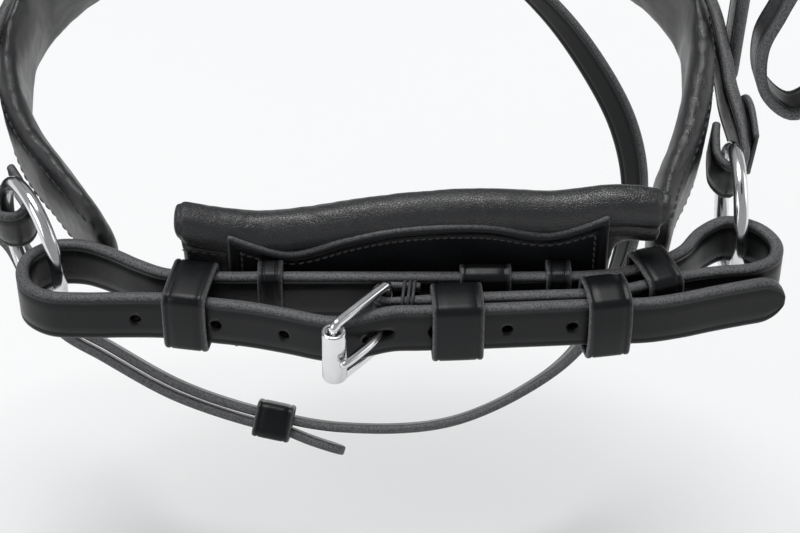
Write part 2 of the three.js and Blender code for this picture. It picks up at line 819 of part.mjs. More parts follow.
// A shape drawn in the strap's own axes, moved to a crown buckle's bar.
function standing(side, geometry) {
  const { sign } = SIDES[side];
  const turned = face(new THREE.Object3D(), [0, 0, 1], [sign, 0, 0], [0, sign, 0]);
  const [x, z] = nearCrownBar(side, [0, 0]);
  turned.position.set(x, 0, z);
  turned.updateMatrix();
  return geometry.applyMatrix4(turned.matrix);
}

function crownArc(inset) {
  const middle = (SIDES.left.ringX + SIDES.right.ringX) / 2;
  const half = (SIDES.right.ringX - SIDES.left.ringX) / 2 - inset;
  const rise = (z) => z - inset * ((z - 396) / (CROWN_TOP - 396));
  const left = CROWN_ARC.map(([x, z]) => [middle - x * half, rise(z)]);
  const right = CROWN_ARC.map(([x, z]) => [middle + x * half, rise(z)]).reverse();
  return { left, top: [middle, CROWN_TOP - inset], right };
}

function crownStrap() {
  const arc = crownArc(0);
  const line = [
    ...CHAPE.map((point) => nearCrownBar("left", point)),
    ...arc.left,
    arc.top,
    ...arc.right,
    ...CHAPE.slice().reverse().map((point) => nearCrownBar("right", point)),
  ];
  const thicken = growing(PARED, CROWN.leather, 25, 35);
  const widen = growing(CROWN.narrow, CROWN.width, 80, 120);
  const thickness = (at, left) => thicken(Math.min(at, left));
  const width = (at, left) => widen(Math.min(at, left));
  const body = strap(upright(line), CROWN, { across: () => Y_ACROSS, thickness, width });
  return cut(body, Object.keys(SIDES).map((side) => standing(side, eyeSlot())));
}

function crownPad() {
  const arc = crownArc(CROWN.thick / 2 + GAP + CROWN.pad / 2);
  const line = [...arc.left.slice(1), arc.top, ...arc.right.slice(0, -1)];
  return strap(upright(line), { width: CROWN.padWidth, thick: CROWN.pad }, { across: () => Y_ACROSS });
}

function crownSide(side) {
  const { sign, ringX } = SIDES[side];
  const upAxes = [[0, 0, 1], [sign, 0, 0], [0, sign, 0]];
  const shortTail = { ...CHEEK_FOLD, tail: 27 };
  const fold = ringFold(sign, shortTail).map(([x, z]) => [ringX + x, RING_LEVEL + UPPER_RING.radius - z]);
  fold.pop();
  const lift = (along) => (along < 0 ? -0.35 : 0.6);
  const over = OVER_BUCKLE.slice(1).map(([along, out]) => nearCrownBar(side, [along, out + lift(along)]));
  const line = [...fold, ...over, nearCrownBar(side, [46, 5.9])];
  const billet = strap(upright(line), CHEEK, { across: () => Y_ACROSS, tip: true });
  const buckle = face(group(smallBuckle("crown_" + side, CHEEK.width)), ...upAxes);
  const [barX, barZ] = nearCrownBar(side, [0, 0]);
  buckle.position.set(barX, 0, barZ);
  const bands = ["lower", "upper"].map((level, i) => {
    const loop = keeper(9, -4.6, 4.6, CHEEK.width / 2 + 0.6, 1.5);
    const band = node("crown_keeper_" + side + "_" + level, loop, BRIDLE);
    const [x, z] = nearCrownBar(side, [17 + 16 * i, 3.8]);
    band.position.set(x, 0, z);
    return face(band, ...upAxes);
  });
  return [node("crown_billet_" + side, cut(billet, [standing(side, pinSlot())]), BRIDLE), buckle, ...bands];
}

// ---- assembly ----
const root = new THREE.Group();
root.name = "headcollar";
const fromChin = new THREE.Group();
fromChin.position.set(-CENTRE_X, -CROWN_AHEAD_OF_CHIN, -CHIN_BELOW_CROWN);
root.add(fromChin);

const chin = group(
  node("chin_strap", chinStrap(), BRIDLE),
  chinBuckle(),
  ...chinKeepers(),
  node("chin_pad", chinPad(), SOFT),
  node("chin_overlay", chinOverlay(), BRIDLE),
);
const rings = group(nosebandRing("ring_left", RING_LEFT), nosebandRing("ring_right", RING_RIGHT));

const nasalParts = group(
  node("nasal_lining", liningSolid(), SOFT),
  node("nasal_strap", nasalStrap(), BRIDLE),
  node("nasal_overlay_left", nasalOverlay([[-134.4, 58], [-134.6, 70], [-134.1, 82]]), BRIDLE),
  node("nasal_overlay_right", nasalOverlay([[109.8, 60], [109.4, 70], [108, 81]]), BRIDLE),
  node("flash_loop", flashLoop(), BRIDLE),
);
nasalParts.position.y = -NASAL_PIVOT_Y;
const nasal = group(nasalParts);
nasal.position.y = NASAL_PIVOT_Y;
nasal.rotation.x = NASAL_TILT;

// The flash buckle's outer side is the side away from the loop, so it is turned over.
const flashBuckle = smallBuckle("flash", FLASH.width);
flashBuckle.position.set(FLASH_BAR.x, FLASH_BAR.y, 0);
flashBuckle.rotation.set(Math.PI, 0, FLASH_BAR.angle, "ZYX");
const flashKeeper = place(
  node("flash_keeper", keeper(13, -4.7, 4.7, FLASH.width / 2 + 0.6, 1.6), BRIDLE),
  -44,
  -167.5,
  0,
  -12,
);
const flash = group(node("flash_strap", flashStrap(), BRIDLE), flashBuckle, flashKeeper);
flash.position.set(0, FLASH_PLANE.y, FLASH_PLANE.z);
flash.rotation.x = FLASH_PLANE.tilt;

const cheeks = Object.keys(SIDES).flatMap((side) => [
  atUpperRing(side, CHEEK_LEAN, node("cheek_strap_" + side, cheekStrap(SIDES[side].sign), BRIDLE)),
  upperRing(side),
  bitHanger(side),
]);

const crown = group(
  node("crown_strap", crownStrap(), BRIDLE),
  node("crown_pad", crownPad(), SOFT),
  ...Object.keys(SIDES).flatMap(crownSide),
);
crown.position.y = CROWN_AHEAD_OF_CHIN;

fromChin.add(chin, rings, nasal, flash, ...cheeks, throatParts(), crown);

export default root;
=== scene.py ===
# The looks of a black leather headcollar with a crank noseband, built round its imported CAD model.
# Lengths in the tables are millimetres. A space matrix takes them to metres in the model's frame.
import json
import math

import bpy
import numpy as np
from mathutils import Matrix, Vector, noise
from mathutils.bvhtree import BVHTree
from mathutils.geometry import delaunay_2d_cdt


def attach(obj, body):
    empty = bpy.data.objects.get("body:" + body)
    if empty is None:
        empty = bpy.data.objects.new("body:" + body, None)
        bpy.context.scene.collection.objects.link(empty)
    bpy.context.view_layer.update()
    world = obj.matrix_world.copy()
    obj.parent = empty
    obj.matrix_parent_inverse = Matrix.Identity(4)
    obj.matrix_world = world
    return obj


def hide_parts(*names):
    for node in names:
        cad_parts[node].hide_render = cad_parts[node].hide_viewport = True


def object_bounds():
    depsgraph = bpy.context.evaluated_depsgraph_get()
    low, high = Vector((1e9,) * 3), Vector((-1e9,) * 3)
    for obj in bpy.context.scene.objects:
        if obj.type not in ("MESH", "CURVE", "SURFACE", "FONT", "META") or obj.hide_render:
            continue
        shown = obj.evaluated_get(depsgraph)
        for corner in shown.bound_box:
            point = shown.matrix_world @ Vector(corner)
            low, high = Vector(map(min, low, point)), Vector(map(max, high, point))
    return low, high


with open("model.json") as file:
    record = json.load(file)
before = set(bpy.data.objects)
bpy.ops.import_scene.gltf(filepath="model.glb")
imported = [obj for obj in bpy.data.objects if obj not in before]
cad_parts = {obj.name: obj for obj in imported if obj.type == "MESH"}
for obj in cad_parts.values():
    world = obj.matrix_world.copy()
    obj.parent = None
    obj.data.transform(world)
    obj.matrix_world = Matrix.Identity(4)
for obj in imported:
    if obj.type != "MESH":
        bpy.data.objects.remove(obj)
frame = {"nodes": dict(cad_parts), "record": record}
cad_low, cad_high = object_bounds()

# ---- driving dimensions, as in the CAD model ----
MM = 0.001
STRAP = (16, 4)  # chin strap, width and thickness
CHEEK = (16, 3.5)
THROAT = (12, 3)
FLASH = (12, 3)
BIT = (14, 3.2)
NASAL = (18, 4)
CROWN_WIDE, CROWN_NARROW, CROWN_THICK, CROWN_PAD = 28, 16, 4, 9
KEEPER_WALL = 1.8
HOLE_RADIUS = 1.7
PARED = 2.4  # leather pared down where it folds round a small buckle
FOLD = 2.6  # and where a wide strap folds round its buckle or ring
WIRE = 4.5  # of every ring
GAP = 0.4
CENTRE_X = -12
CHIN_BELOW_CROWN = 455
CROWN_AHEAD_OF_CHIN = 50
RING_LEVEL = 290
UPPER_RING_RADIUS = 24
NOSEBAND_RING_RADIUS = 20
CHEEK_LEAN = 10.3
BIT_LEAN = -7.8
RING_X = {"left": -132.8, "right": 105}
SIGN = {"left": -1, "right": 1}


# ---- spaces ----
def shift(x, y, z=0):
    return Matrix.Translation((x, y, z))


def turn(axis, degrees):
    return Matrix.Rotation(math.radians(degrees), 4, axis)


def facing(x, y, z):
    """The turn that points a space's own axes the given ways."""
    return Matrix((x, y, z)).transposed().to_4x4()


CHIN = Matrix.Scale(MM, 4) @ shift(-CENTRE_X, -CROWN_AHEAD_OF_CHIN, -CHIN_BELOW_CROWN)
NASAL_PIVOT_Y = 33
NASAL_SPACE = CHIN @ shift(0, NASAL_PIVOT_Y) @ turn("X", 19) @ shift(0, -NASAL_PIVOT_Y)
FLASH_SPACE = CHIN @ shift(0, 173.6, 15.6) @ turn("X", 50)
THROAT_SPACE = CHIN @ shift(0, CROWN_AHEAD_OF_CHIN, RING_LEVEL) @ turn("X", 50)
CROWN_SPACE = CHIN @ shift(0, CROWN_AHEAD_OF_CHIN)


def at_upper_ring(side, lean=0):
    return CHIN @ shift(RING_X[side], CROWN_AHEAD_OF_CHIN, RING_LEVEL) @ turn("X", lean)


# ---- camera, floor and light ----
PHOTO_ELEVATION = math.radians(40)
CAMERA_DISTANCE = 650
AIM_ABOVE_STRAP = 9.85  # along the camera's up direction
KEY_STRENGTH = 2.15
WORLD_STRENGTH = 0.36


def add_camera():
    up = Vector((0, math.sin(PHOTO_ELEVATION), math.cos(PHOTO_ELEVATION)))
    back = Vector((0, -math.cos(PHOTO_ELEVATION), math.sin(PHOTO_ELEVATION)))
    target = AIM_ABOVE_STRAP * up
    camera = bpy.data.objects.new("camera", bpy.data.cameras.new("camera"))
    bpy.context.scene.collection.objects.link(camera)
    camera.location = CHIN @ (target + CAMERA_DISTANCE * back)
    camera.rotation_euler = (-back).to_track_quat("-Z", "Y").to_euler()
    camera.data.sensor_width = 36
    camera.data.lens = 99.5
    bpy.context.scene.camera = camera


def add_light(name, place, aim, size, power):
    """A square softbox; place and aim are in metres."""
    data = bpy.data.lights.new(name, "AREA")
    data.shape = "SQUARE"
    data.size = size
    data.energy = power
    light = bpy.data.objects.new(name, data)
    bpy.context.scene.collection.objects.link(light)
    light.location = place
    light.rotation_euler = (Vector(aim) - Vector(place)).to_track_quat("-Z", "Y").to_euler()


def add_key_light():
    """A very wide soft light from above and behind, even over the whole floor."""
    data = bpy.data.lights.new("overhead", "SUN")
    data.angle = math.radians(32)
    data.energy = KEY_STRENGTH
    light = bpy.data.objects.new("overhead", data)
    bpy.context.scene.collection.objects.link(light)
    light.rotation_euler = Vector((0.16, -0.3, -1)).to_track_quat("-Z", "Y").to_euler()


def add_studio():
    middle = CHIN @ Vector((0, 20, 0))
    add_key_light()
    add_light("softbox_left", middle + Vector((-1.3, -0.5, 0.7)), middle, 0.9, 4.5)
    add_light("softbox_right", middle + Vector((1.4, 0.3, 0.5)), middle, 0.8, 3)
    world = bpy.data.worlds.new("studio")
    world.use_nodes = True
    world.node_tree.nodes["Background"].inputs["Color"].default_value = (0.97, 0.98, 1, 1)
    world.node_tree.nodes["Background"].inputs["Strength"].default_value = WORLD_STRENGTH
    bpy.context.scene.world = world
    bpy.context.scene.view_settings.view_transform = "Standard"
    level = cad_low.z - 0.05
    far = 40
    corners = [(-far, -far, level), (far, -far, level), (far, far, level), (-far, far, level)]
    floor = new_object("floor", corners, [(0, 1, 2, 3)])
    floor.data.materials.append(floor_material())


# ---- materials ----
def nodes_of(material):
    """Short ways to build a shader: add(type, settings), link(from, to), and texture(type, settings)
    for a node laid on the object's own coordinates."""
    tree = material.node_tree

    def add(kind, **settings):
        node = tree.nodes.new(kind)
        for key, value in settings.items():
            if hasattr(node, key):
                setattr(node, key, value)
            else:
                node.inputs[key.replace("_", " ")].default_value = value
        return node

    place = add("ShaderNodeTexCoord").outputs["Object"]

    def texture(kind, **settings):
        node = add(kind, **settings)
        tree.links.new(place, node.inputs["Vector"])
        return node

    return add, texture, tree.links.new, tree.nodes["Principled BSDF"]


def new_material(name):
    material = bpy.data.materials.new(name)
    material.use_nodes = True
    return material


def ramp(add, link, source, low, high, from_low=0.0, from_high=1.0):
    """The source's value stretched to low..high."""
    node = add("ShaderNodeMapRange")
    for key, value in (("From Min", from_low), ("From Max", from_high), ("To Min", low), ("To Max", high)):
        node.inputs[key].default_value = value
    link(source, node.inputs["Value"])
    return node.outputs["Result"]


def blend_colour(add, link, share, first, second):
    node = add("ShaderNodeMix", data_type="RGBA")
    for socket, value in ((node.inputs[6], first), (node.inputs[7], second)):
        if isinstance(value, tuple):
            socket.default_value = (*value, 1)
        else:
            link(value, socket)
    link(share, node.inputs[0])
    return node.outputs[2]


def bumps(add, link, shader, height, strength, distance):
    node = add("ShaderNodeBump", Strength=strength, Distance=distance)
    link(height, node.inputs["Height"])
    link(node.outputs["Normal"], shader.inputs["Normal"])


def scaled_sum(add, link, value, scale, more):
    """value * scale + more."""
    node = add("ShaderNodeMath", operation="MULTIPLY_ADD")
    link(value, node.inputs[0])
    node.inputs[1].default_value = scale
    link(more, node.inputs[2])
    return node.outputs[0]


def leather(name, face, worn_edge_and_highlight, roughness, grain, depth, specular, rubbed=0.16):
    """Dyed leather: cell grain, slow changes of sheen, and lighter cut edges whose colour is partly rubbed
    edge and partly painted highlight, with painted glint flecks.
    """
    material = new_material(name)
    add, texture, link, shader = nodes_of(material)
    cells = texture("ShaderNodeTexVoronoi", feature="DISTANCE_TO_EDGE", Scale=grain)
    pores = texture("ShaderNodeTexNoise", Scale=grain * 2.2, Detail=3.0)
    clouds = texture("ShaderNodeTexNoise", Scale=70.0, Detail=4.0)
    fibre_and_glint_noise = texture("ShaderNodeTexNoise", Scale=2100.0, Detail=2.0, Roughness=0.7)
    edge = add("ShaderNodeAttribute", attribute_name="edge").outputs["Fac"]
    # Cut edges get a lighter colour with bright flecks: partly a rubbed edge, partly a painted highlight and
    # painted glints of the light from above.
    edge_wear_and_glint_share = add("ShaderNodeMath", operation="MULTIPLY")
    link(edge, edge_wear_and_glint_share.inputs[0])
    link(ramp(add, link, fibre_and_glint_noise.outputs["Fac"], 0.25, 1.35, 0.35, 0.67), edge_wear_and_glint_share.inputs[1])
    darker, lighter = (tuple(share * c for c in face) for share in (0.8, 1.3))
    toned = blend_colour(add, link, clouds.outputs["Fac"], darker, lighter)
    link(blend_colour(add, link, edge_wear_and_glint_share.outputs[0], toned, worn_edge_and_highlight), shader.inputs["Base Color"])
    sheen = ramp(add, link, clouds.outputs["Fac"], roughness - 0.06, roughness + 0.07, 0.3, 0.7)
    link(scaled_sum(add, link, edge, rubbed, sheen), shader.inputs["Roughness"])
    creased = ramp(add, link, cells.outputs["Distance"], 0.0, 1.0, 0.0, 0.12)
    surface = scaled_sum(add, link, pores.outputs["Fac"], 0.8, creased)
    fuzz = scaled_sum(add, link, edge_wear_and_glint_share.outputs[0], 2.0, surface)
    bumps(add, link, shader, fuzz, depth, 0.00012)
    shader.inputs["Specular IOR Level"].default_value = specular
    return material


def steel_material():
    """Polished stainless steel with fine hairlines and slightly duller patches."""
    material = new_material("polished_stainless")
    add, texture, link, shader = nodes_of(material)
    smudges = texture("ShaderNodeTexNoise", Scale=160.0, Detail=3.0)
    hairlines = add("ShaderNodeTexNoise", Scale=900.0, Detail=4.0)
    stretch = texture("ShaderNodeMapping", Scale=(1, 1, 0.12))
    link(stretch.outputs["Vector"], hairlines.inputs["Vector"])
    shader.inputs["Metallic"].default_value = 1
    shade = blend_colour(add, link, smudges.outputs["Fac"], (0.66, 0.67, 0.69), (0.82, 0.82, 0.82))
    link(shade, shader.inputs["Base Color"])
    link(ramp(add, link, smudges.outputs["Fac"], 0.1, 0.24, 0.3, 0.7), shader.inputs["Roughness"])
    bumps(add, link, shader, hairlines.outputs["Fac"], 0.12, 0.00003)
    return material


def thread_material():
    """Waxed black thread with a fine twist."""
    material = new_material("waxed_thread")
    add, texture, link, shader = nodes_of(material)
    twist = texture("ShaderNodeTexWave", Scale=900.0, Distortion=2.0)
    shade = blend_colour(add, link, twist.outputs["Fac"], (0.02, 0.02, 0.022), (0.075, 0.076, 0.08))
    link(shade, shader.inputs["Base Color"])
    link(ramp(add, link, twist.outputs["Fac"], 0.5, 0.65), shader.inputs["Roughness"])
    bumps(add, link, shader, twist.outputs["Fac"], 0.4, 0.00008)
    return material


def floor_material():
    material = new_material("pale_floor")
    add, texture, link, shader = nodes_of(material)
    mottle = texture("ShaderNodeTexNoise", Scale=3.0)
    shade = blend_colour(add, link, mottle.outputs["Fac"], (0.84, 0.845, 0.85), (0.87, 0.87, 0.87))
    link(shade, shader.inputs["Base Color"])
    shader.inputs["Roughness"].default_value = 0.7
    return material


# Each leather's second colour is its cut edges' colour: partly rubbed edge, partly painted highlight.
BRIDLE = (
    leather("black_bridle_leather", (0.0055, 0.006, 0.007), (0.15, 0.151, 0.155), 0.31, 1500.0, 0.16, 0.24),
    "bridle_leather",
)
SOFT = (
    leather("black_padded_leather", (0.009, 0.0095, 0.011), (0.09, 0.09, 0.094), 0.38, 1300.0, 0.42, 0.7),
    "padded_leather",
)
STEEL = (steel_material(), "stainless")
THREAD = (thread_material(), "bridle_leather")

# ---- mesh helpers ----
BODY_OF = {n: body for body, nodes in frame["record"]["behaviour"]["bodies"].items() for n in nodes}


def new_object(name, points, faces):
    mesh = bpy.data.meshes.new(name)
    mesh.from_pydata([tuple(p) for p in points], [], faces)
    mesh.update()
    made = bpy.data.objects.new(name, mesh)
    bpy.context.scene.collection.objects.link(made)
    return made


def bake_modifiers(piece):
    """The piece keeps its evaluated mesh, and no modifier."""
    bpy.context.view_layer.update()
    found = piece.evaluated_get(bpy.context.evaluated_depsgraph_get())
    mesh = bpy.data.meshes.new_from_object(found)
    piece.modifiers.clear()
    piece.data = mesh


def smooth_shade(piece):
    piece.data.polygons.foreach_set("use_smooth", [True] * len(piece.data.polygons))


def coordinates(piece):
    found = np.zeros(len(piece.data.vertices) * 3)
    piece.data.vertices.foreach_get("co", found)
    return found.reshape(-1, 3)


def move_points(piece, points):
    piece.data.vertices.foreach_set("co", points.ravel())
    piece.data.update()


def normals(piece):
    found = np.zeros(len(piece.data.vertices) * 3)
    piece.data.vertices.foreach_get("normal", found)
    return found.reshape(-1, 3)


def finished(piece, node, finish):
    """The piece stands for that CAD node, on its body and in that finish."""
    added(piece, node, finish)
    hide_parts(node)
    return piece


def added(piece, node, finish):
    """The piece rides with that CAD node and doesn't replace it."""
    material, slot = finish
    smooth_shade(piece)
    piece.data.materials.clear()
    piece.data.materials.append(material)
    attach(piece, BODY_OF[node])
    return piece


def in_space(points, space):
    """Points from that space, in metres in the model's frame."""
    matrix = np.array(space)
    return np.asarray(points) @ matrix[:3, :3].T + matrix[:3, 3]


def face_out(piece):
    """The closed surface's faces turned outward."""
    volume = sum(Vector(p.center).dot(p.normal) * p.area for p in piece.data.polygons)
    if volume < 0:
        piece.data.flip_normals()


def mark_edges(piece, values):
    """How far each point lies on a cut edge, for the leather's lighter edge colour, partly rubbed edge and
    partly painted highlight, and its rougher edges.
    """
    piece.data.attributes.new("edge", "FLOAT", "POINT").data.foreach_set("value", values)


def skin(name, rings, space, closed=False, edge=None):
    """A closed surface through rings of points, with flat ends unless it is closed on itself."""
    count, around = rings.shape[:2]
    points = in_space(rings.reshape(-1, 3), space)
    faces = []
    for i in range(count if closed else count - 1):
        a, b = i * around, ((i + 1) % count) * around
        faces += [(a + j, a + (j + 1) % around, b + (j + 1) % around, b + j) for j in range(around)]
    if not closed:
        faces.append(tuple(range(around - 1, -1, -1)))
        faces.append(tuple(range((count - 1) * around, count * around)))
    made = new_object(name, points, faces)
    face_out(made)
    if edge is not None:
        mark_edges(made, np.tile(edge, count))
    return made


def merged(name, pieces):
    """One object from several meshes."""
    points, faces, start = [], [], 0
    for piece in pieces:
        points += [tuple(v.co) for v in piece.data.vertices]
        faces += [tuple(start + i for i in p.vertices) for p in piece.data.polygons]
        start = len(points)
        bpy.data.objects.remove(piece)
    return new_object(name, points, faces)


# ---- smooth lines ----
def smooth(points):
    """A fine polyline along the centripetal curve through the points."""
    p = np.array([(*q, 0) if len(q) == 2 else tuple(q) for q in points], float)
    p = np.vstack([2 * p[0] - p[1], p, 2 * p[-1] - p[-2]])
    t = np.linspace(0, 1, 40, endpoint=False)[:, None]
    fine = []
    for a, b, c, d in zip(p, p[1:], p[2:], p[3:]):
        before, here, after = (np.linalg.norm(v) ** 0.5 for v in (b - a, c - b, d - c))
        m1 = ((b - a) / before - (c - a) / (before + here) + (c - b) / here) * here
        m2 = ((c - b) / here - (d - b) / (here + after) + (d - c) / after) * here
        fine.append((2 * t**3 - 3 * t**2 + 1) * b + (t**3 - 2 * t**2 + t) * m1
                    + (3 * t**2 - 2 * t**3) * c + (t**3 - t**2) * m2)
    return np.vstack([*fine, p[-2]])


def unit(vectors):
    return vectors / np.linalg.norm(vectors, axis=1)[:, None]


class Line:
    """A strap's centre line, with the direction of its length, width and face at any distance."""

    def __init__(self, points, across=(0, 0, 1)):
        self.points = smooth(points)
        steps = np.linalg.norm(np.diff(self.points, axis=0), axis=1)
        self.at = np.concatenate([[0], np.cumsum(steps)])
        self.length = self.at[-1]
        self.across = across if callable(across) else lambda share: across

    def place(self, distances):
        return np.column_stack([np.interp(distances, self.at, self.points[:, k]) for k in range(3)])

    def frames(self, distances):
        distances = np.asarray(distances, float)
        reach = 0.5
        after = np.minimum(distances + reach, self.length)
        before = np.maximum(distances - reach, 0)
        along = unit(self.place(after) - self.place(before))
        wide = np.array([self.across(d / self.length) for d in distances], float)
        wide = unit(wide - np.sum(wide * along, axis=1)[:, None] * along)
        return self.place(distances), along, wide, np.cross(along, wide)


def upright(points):
    return [(x, 0, z) for x, z in points]


# ---- leather ----
CREASE_DEPTH = 0.3


def leather_section(width, thick, crease=2.4):
    """Points round a strap's cross-section, as (across, out), and how far each is a cut edge:
    rounded edges, and a pressed crease along both sides of each face."""
    half, t = width / 2, thick / 2
    r = min(t, 1.3, half * 0.4)
    c = min(crease, half * 0.5)
    w = min(0.5, half * 0.08)
    bend = np.radians([-82, -55, -25, 0, 25, 55, 82])
    right = [(half - r + r * math.cos(a), t * math.sin(a)) for a in bend]
    xs = [half - c + w, half - c, half - c - w, half * 0.35, 0]
    dips = [0, CREASE_DEPTH, 0.02, 0, 0]
    top = [(x, t - d) for x, d in zip(xs, dips)]
    top += [(-x, y) for x, y in reversed(top[:-1])]
    left = [(-x, y) for x, y in reversed(right)]
    bottom = [(x, -y) for x, y in reversed(top)]
    edge = [0.25, 0.8, 1, 1, 1, 0.8, 0.25]
    plain = [0.0] * len(top)
    return np.array(right + top + left + bottom), np.array(edge + plain + edge + plain)


ROUNDED_END = 0.6


def ribbon(name, line, size, space, tip=False, thickness=None, width=None, step=1.5, crease=2.4):
    """A flat strap of leather along a line. thickness and width may be functions of the distance
    from the start and from the end."""
    wide, thick = size
    total = line.length
    start = [0, 0.15, 0.35, ROUNDED_END]
    inner = list(np.arange(step, total - (wide / 2 if tip else step), step))
    if tip:
        round_end = [total - wide / 2 * (1 - math.sin(a)) for a in np.radians(np.linspace(2, 84, 12))]
    else:
        round_end = [total - d for d in reversed(start)]
    stations = np.array(start + inner + round_end)
    rings = []
    for d, p, side, out in zip(stations, *(line.frames(stations)[k] for k in (0, 2, 3))):
        left = total - d
        w = width(d, left) if width else wide
        t = thickness(d, left) if thickness else thick
        near = min(d, left)
        if near < ROUNDED_END:
            f = math.sqrt(1 - (1 - near / ROUNDED_END) ** 2)
            t *= 0.5 + 0.5 * f
            w -= 0.9 * (1 - f)
        if tip and left < wide / 2:
            w *= math.sqrt(max(0.01, 1 - (1 - left / (wide / 2)) ** 2))
        section, edge = leather_section(w, t, crease)
        rings.append(p + section[:, :1] * side + section[:, 1:] * out)
    return skin(name, np.array(rings), space, edge=edge)


def pared(full, thin, start, end):
    """Thickness that grows from thin to full between two distances."""
    return lambda near: thin + (full - thin) * min(1, max(0, (near - start) / (end - start)))


def keeper(name, length, y0, y1, half_z, space, wall=KEEPER_WALL, slack=0.3):
    """A loop of leather round straps that run along x. Its long sides bow out a little."""
    r = 1.3 + wall / 2
    low, high, side = y0 - wall / 2, y1 + wall / 2, half_z + wall / 2
    corners = [(high - r, side - r, 0), (low + r, side - r, 90),
               (low + r, r - side, 180), (high - r, r - side, 270)]
    path = []
    for k, (cy, cz, first) in enumerate(corners):
        for a in np.radians(np.linspace(first, first + 90, 7)):
            path.append((cy + r * math.cos(a), cz + r * math.sin(a), math.cos(a), math.sin(a)))
        ny, nz, _ = corners[(k + 1) % 4]
        direction = (math.cos(math.radians(first + 90)), math.sin(math.radians(first + 90)))
        (y_a, z_a), (y_b, z_b) = path[-1][:2], (ny + r * direction[0], nz + r * direction[1])
        for s in (0.2, 0.4, 0.6, 0.8):
            bow = slack * math.sin(math.pi * s)
            y, z = y_a + (y_b - y_a) * s, z_a + (z_b - z_a) * s
            path.append((y + bow * direction[0], z + bow * direction[1], *direction))
    section, edge = leather_section(length, wall, 1.9)
    rings = []
    for y, z, ny, nz in path:
        centre, out = np.array((0, y, z)), np.array((0, ny, nz))
        rings.append(centre + section[:, :1] * np.array((1, 0, 0)) + section[:, 1:] * out)
    return skin(name, np.array(rings), space, closed=True, edge=edge)


def cut_out(piece, tools):
    """The piece without the tools' solids."""
    for tool in tools:
        tool.data.update()
        modifier = piece.modifiers.new("cut", "BOOLEAN")
        modifier.operation = "DIFFERENCE"
        modifier.solver = "EXACT"
        modifier.object = tool
    bake_modifiers(piece)
    for tool in tools:
        bpy.data.objects.remove(tool)


def pin_tool(x, y, angle, space, radius=HOLE_RADIUS, long=0.0, reach=6):
    """A round or long hole across a strap whose width is along z and whose face is along y."""
    rings = []
    for y_at in (-reach, reach):
        ring = [(radius * math.cos(a) * (1 + long / (2 * radius)), y_at, radius * math.sin(a))
                for a in np.linspace(0, 2 * math.pi, 24, endpoint=False)]
        rings.append(ring)
    return skin("tool", np.array(rings), space @ shift(x, y) @ turn("Z", angle))


def box_tool(x, y, long, high, wide, space):
    corners = [(-long / 2, -wide / 2), (long / 2, -wide / 2), (long / 2, wide / 2), (-long / 2, wide / 2)]
    rings = [[(a, side * high / 2, b) for a, b in corners] for side in (-1, 1)]
    return skin("tool", np.array(rings, float), space @ shift(x, y))


def strap(node, line, size, space, cuts=(), **shape):
    """A strap that stands for the node, with any holes and slots cut through it."""
    piece = ribbon(node + "_leather", line, size, space, **shape)
    if cuts:
        cut_out(piece, cuts)
    return finished(piece, node, BRIDLE)


def strap_loop(node, *shape, **more):
    """A keeper that stands for the node."""
    return finished(keeper(node + "_leather", *shape, **more), node, BRIDLE)


# ---- stitching ----
def stitches(name, places, along, wide, out, space, pitch=3.0, radius=0.34):
    """Thread laid stitch by stitch on a surface, each a little askew and sunk at its ends."""
    turns = np.linspace(0, 2 * math.pi, 7, endpoint=False)
    profile = [(-1, 0.35, -0.55), (-0.8, 0.85, -0.1), (0, 1.05, 0.25), (0.8, 0.85, -0.1), (1, 0.35, -0.55)]
    half = pitch * 0.4
    points, faces = [], []
    for p, a, w, o in zip(places, along, wide, out):
        a = a + 0.16 * w
        w = np.cross(o, a)
        base = len(points)
        for x, r, lift in profile:
            centre = p + a * (x * half) + o * (lift * radius)
            points += [centre + radius * r * (math.cos(q) * w + math.sin(q) * o) for q in turns]
        n = len(turns)
        for i in range(len(profile) - 1):
            faces += [(base + i * n + j, base + i * n + (j + 1) % n,
                       base + (i + 1) * n + (j + 1) % n, base + (i + 1) * n + j) for j in range(n)]
        faces.append(tuple(base + j for j in reversed(range(n))))
        faces.append(tuple(base + (len(profile) - 1) * n + j for j in range(n)))
    return new_object(name, in_space(points, space), faces)


def laid_on(piece, places, out, space):
    """The places moved along the outward direction onto the piece's surface."""
    tree = BVHTree.FromObject(piece, bpy.context.evaluated_depsgraph_get())
    back = space.inverted()
    found = []
    for place, way in zip(places, out):
        start = space @ Vector(place + 6 * way)
        hit = tree.ray_cast(start, (space.to_3x3() @ Vector(-way)).normalized(), 0.012)[0]
        found.append(np.array(back @ hit) if hit else place)
    return np.array(found)


def stitch_rows(name, line, rows, space, start, end, face=1, pitch=3.0, radius=0.34, piece=None):
    """Rows along a strap: each row is (distance across, distance out from the centre line).
    With a piece, the rows are laid on its surface."""
    at = np.arange(start + pitch / 2, end, pitch)
    place, along, wide, out = line.frames(at)
    parts = []
    for k, (w, t) in enumerate(rows):
        places = place + w * wide + face * t * out
        if piece:
            places = laid_on(piece, places, face * out, space)
        parts.append(stitches(name + str(k), places, along, wide, face * out, space, pitch, radius))
    return merged(name, parts)


# ---- steel ----
def squircle(radius, count=16, power=2.6):
    """A round section with slightly flat sides."""
    a = np.linspace(0, 2 * math.pi, count, endpoint=False)
    r = radius * (np.abs(np.cos(a)) ** power + np.abs(np.sin(a)) ** power) ** (-1 / power)
    return np.column_stack([r * np.cos(a), r * np.sin(a)])


def ring(name, radius, wire, space):
    section = squircle(wire / 2, 20, 2)
    rings = []
    for a in np.linspace(0, 2 * math.pi, 120, endpoint=False):
        out = np.array((math.cos(a), math.sin(a), 0))
        rings.append(radius * out + section[:, :1] * out + section[:, 1:] * np.array((0, 0, 1)))
    return skin(name, np.array(rings), space, closed=True)


